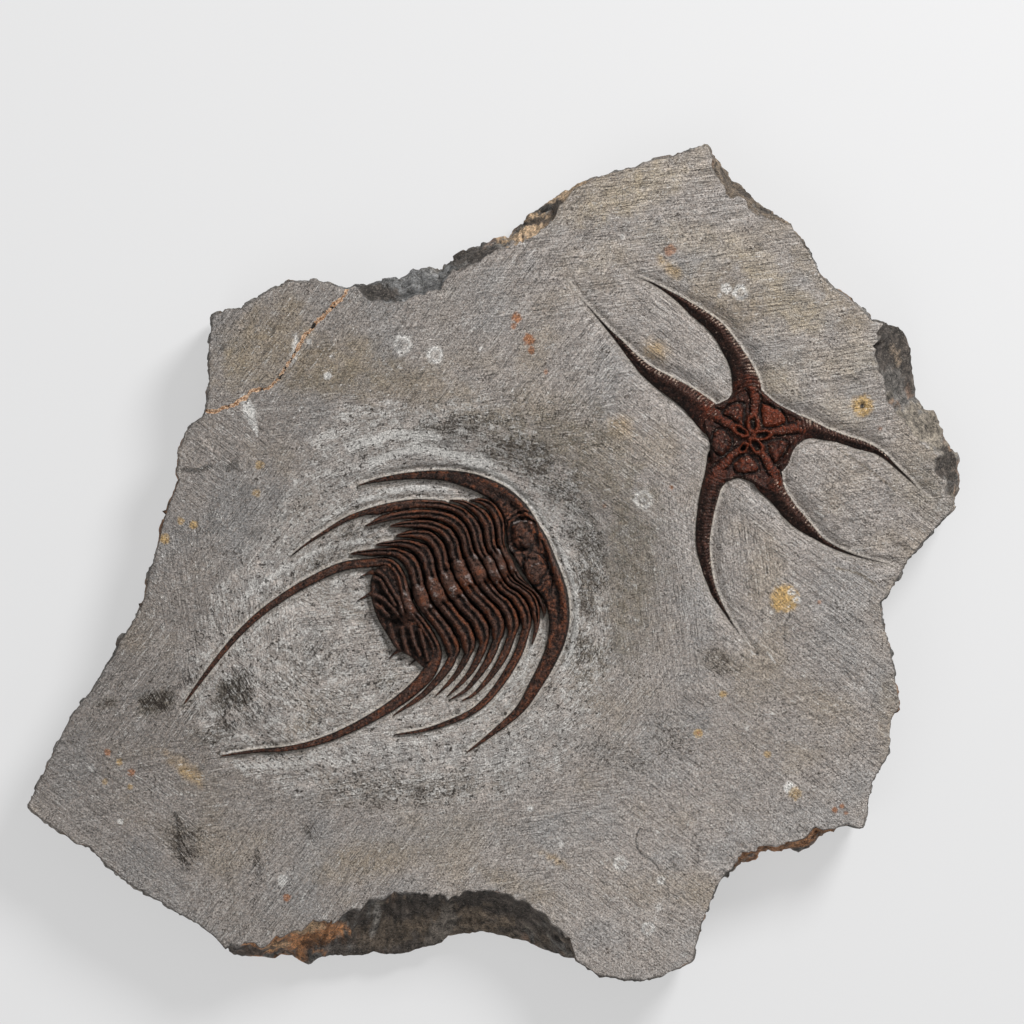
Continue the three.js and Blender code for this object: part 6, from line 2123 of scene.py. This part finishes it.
def add_shell(name, node, built, spine_iron=0.16):
    """Adds a piece of the trilobite. Its spines are as rusty as spine_iron says."""
    traits = shell_traits(built[0], built[2], spine_iron)
    add_fossil(name, node, "trilobite_shell", built, SHELL_FINISH, traits)


def shell_traits(points, marks, spine_iron):
    """Crests lighter and grooves darker, as wear with painted shade; rusty patches; and painted
    highlights on the knobs, the head's folds and the sharpest crests.
    """
    x, y = points[:, 0], points[:, 1]
    across = marks[:, 0]
    on_body = smoothstep(body_rise(x, y), 1.6, 3.6)
    # painted shade: darker where the shell lies lower than the points round it and at each strip's
    # edges, lighter where it stands out
    wear_and_painted_light = 0.33 + 0.16 * on_body + 1.35 * np.clip(marks[:, 3], -0.5, 0.4)
    wear_and_painted_light -= 0.25 * np.abs(across) ** 5 + 0.25 * (1 - on_body) * np.abs(across) ** 3
    # the shell is darker in broad patches, and rustier towards the lower right
    wear_and_painted_light += 0.16 * fractal(points / 11, 703, 3)
    iron = spine_iron + 0.35 * fractal(points / 5.0, 701, 3)
    iron += 0.14 * smoothstep(x - y, 5, 50) - 0.06 * smoothstep(y - x, -10, 30)
    lower = smoothstep(distance_to_axis(x, y), 0, 9)
    iron = iron + 0.38 * on_body * (1 - lower) * smoothstep(x, -36, -30)
    iron = iron + (1 - on_body) * (0.10 + 0.45 * bump(np.abs(across) - 0.62, 0.30))
    patches = fractal(points / 1.3, 709, 3, 0.6)
    pale = 0.22 * fractal(points / 2.5, 705, 3)
    # painted highlights: pale on each knob, then along the head's folds
    for kx, ky in RING_KNOBS:
        along, over = turned(x, y, kx, ky, KNOB_TURN)
        near = bump(np.hypot(along / 2.4, over / 1.0), 0.9)
        pale = np.maximum(pale, near * np.clip(0.9 + 0.9 * patches, 0, 1))
    for line, half, strength in HEAD_HIGHLIGHTS:
        near = strength * bump(distance_to_line(points[:, :2], line), half)
        pale = np.maximum(pale, near * np.clip(0.9 + 0.9 * patches, 0, 1))
    # painted highlights, here and there, on the sharpest crests
    crests = smoothstep(marks[:, 3], 0.16, 0.34) * on_body
    crest_highlight_share = smoothstep(fractal(points / 3.5, 711, 3, 0.6), 0.0, 0.4)
    pale = np.maximum(pale, 0.72 * crests * crest_highlight_share)
    return np.column_stack([wear_and_painted_light, iron, pale])


for i, plan in enumerate(SEGMENTS):
    built = swept(plan, smooth_face, segment_rise(RING_KNOBS[i], 180 + i), 17)
    add_shell(f"segment_{i + 1}", f"thoracic_segment_{i + 1}", built, 0.10)

add_shell("head_shield", "cephalon", head_mesh())
thorns = [thorn_mesh(tip, root) for tip, root in THORNS]
tail = joined([swept(RIB, smooth_face, rib_rise, 17), fan_mesh(), *thorns])
add_shell("tail_shield", "pygidium", tail)


def arm_traits(points, marks, seed):
    """Crests lighter on the lit flank and where they stand out, darker in the hollows, as wear with
    painted light; a red flush near the disc; and painted highlights on the ribs of the lit flank, with
    pale specks.
    """
    across, run, facing, relief = marks.T
    crest = arm_ribs(across, run, seed)
    flank = smoothstep(facing, 0.15, 0.6) * np.clip(0.85 + 0.9 * noise(
        np.column_stack([run / 1.3, across + 5.0 * seed]), 727), 0, 1.2)
    # painted light: crests lighter on the lit flank, and the arm darker where it lies lower than the
    # points round it, lighter where it stands out
    wear_and_painted_light = 0.26 + 0.45 * crest * (0.12 + flank) + 0.25 * fractal(points / 2.0, 711, 3)
    wear_and_painted_light = wear_and_painted_light + 0.5 * np.clip(relief, -0.4, 0.4)
    to_disc = np.hypot(points[:, 0] - STAR_CENTRE[0], points[:, 1] - STAR_CENTRE[1])
    red = 0.75 * (1 - smoothstep(to_disc, 12, 34)) + 0.35 * fractal(points / 4.0, 715, 3)
    patchy = np.clip(0.68 + 0.7 * fractal(points / 4.5, 721, 3, 0.6), 0.1, 1.1)
    # painted highlights on the ribs of the lit flank, then pale dust specks all over
    pale = flank * (1.15 * crest ** 1.5 - 0.05) * patchy
    pale = pale + 0.50 * fractal(points / 1.1, 719, 3)
    return np.column_stack([wear_and_painted_light, red, pale])


def disc_traits(points, tone):
    """The disc's worn tone, its redness and its dust."""
    dust = 0.10 + 0.5 * fractal(points / 1.1, 723, 4, 0.65)
    return np.column_stack([1.05 * tone - 0.17, 0.28 + 0.80 * tone, dust])


for i, plan in enumerate(ARMS):
    built = swept(plan, star_ground, arm_rise(i), 21)
    traits = arm_traits(built[0], built[2], i)
    add_fossil(f"arm_{i + 1}", f"star_arm_{i + 1}", "star_ossicles", built, STAR_FINISH, traits)

built = disc_mesh()
traits = disc_traits(built[0], built[2])
add_fossil("disc", "star_disc", "star_ossicles", built, STAR_FINISH, traits)

for thing, node, slot in pieces:
    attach(thing, "root")
    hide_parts(node)


# ------------------------------------------------------------------ floor, light and camera

def add_floor():
    size = 3.0
    mesh = bpy.data.meshes.new("floor")
    corners = [(-size, -size, 0), (size, -size, 0), (size, size, 0), (-size, size, 0)]
    mesh.from_pydata(corners, [], [(0, 1, 2, 3)])
    floor = bpy.data.objects.new("floor", mesh)
    bpy.context.scene.collection.objects.link(floor)
    floor.location.z = -0.0002
    paper = bpy.data.materials.new("floor_paper")
    paper.use_nodes = True
    shader = paper.node_tree.nodes["Principled BSDF"]
    shader.inputs["Base Color"].default_value = (0.30, 0.30, 0.303, 1)
    shader.inputs["Emission Color"].default_value = (1.0, 1.0, 1.0, 1)
    shader.inputs["Emission Strength"].default_value = 0.50
    shader.inputs["Roughness"].default_value = 0.9
    shader.inputs["Specular IOR Level"].default_value = 0.1
    mesh.materials.append(paper)


def add_area(name, place, size, power, target=(0.0, 0.0, 0.02)):
    lamp = bpy.data.lights.new(name, "AREA")
    lamp.shape = "DISK"
    lamp.size = size
    lamp.energy = power
    thing = bpy.data.objects.new(name, lamp)
    thing.location = place
    thing.rotation_euler = (Vector(place) - Vector(target)).to_track_quat("Z", "Y").to_euler()
    bpy.context.scene.collection.objects.link(thing)


def add_light():
    add_area("key", (0.72, 0.90, 0.92), 0.5, 21.5)
    add_area("fill", (-1.0, -1.1, 1.9), 1.6, 7)
    world = bpy.data.worlds.new("studio")
    world.use_nodes = True
    background = world.node_tree.nodes["Background"]
    background.inputs["Color"].default_value = (1.0, 1.0, 1.0, 1)
    background.inputs["Strength"].default_value = 0.30
    bpy.context.scene.world = world


def add_camera():
    distance = 2.2
    view_width = 0.3732
    look_at = (0.0064, 0.0186)
    camera = bpy.data.cameras.new("camera")
    camera.sensor_width = 36
    camera.lens = 36 * distance / view_width
    camera.clip_end = 20
    thing = bpy.data.objects.new("camera", camera)
    thing.location = (*look_at, FACE_HEIGHT * MM + distance)
    bpy.context.scene.collection.objects.link(thing)
    bpy.context.scene.camera = thing


add_floor()
add_light()
add_camera()
bpy.context.scene.view_settings.view_transform = "Standard"
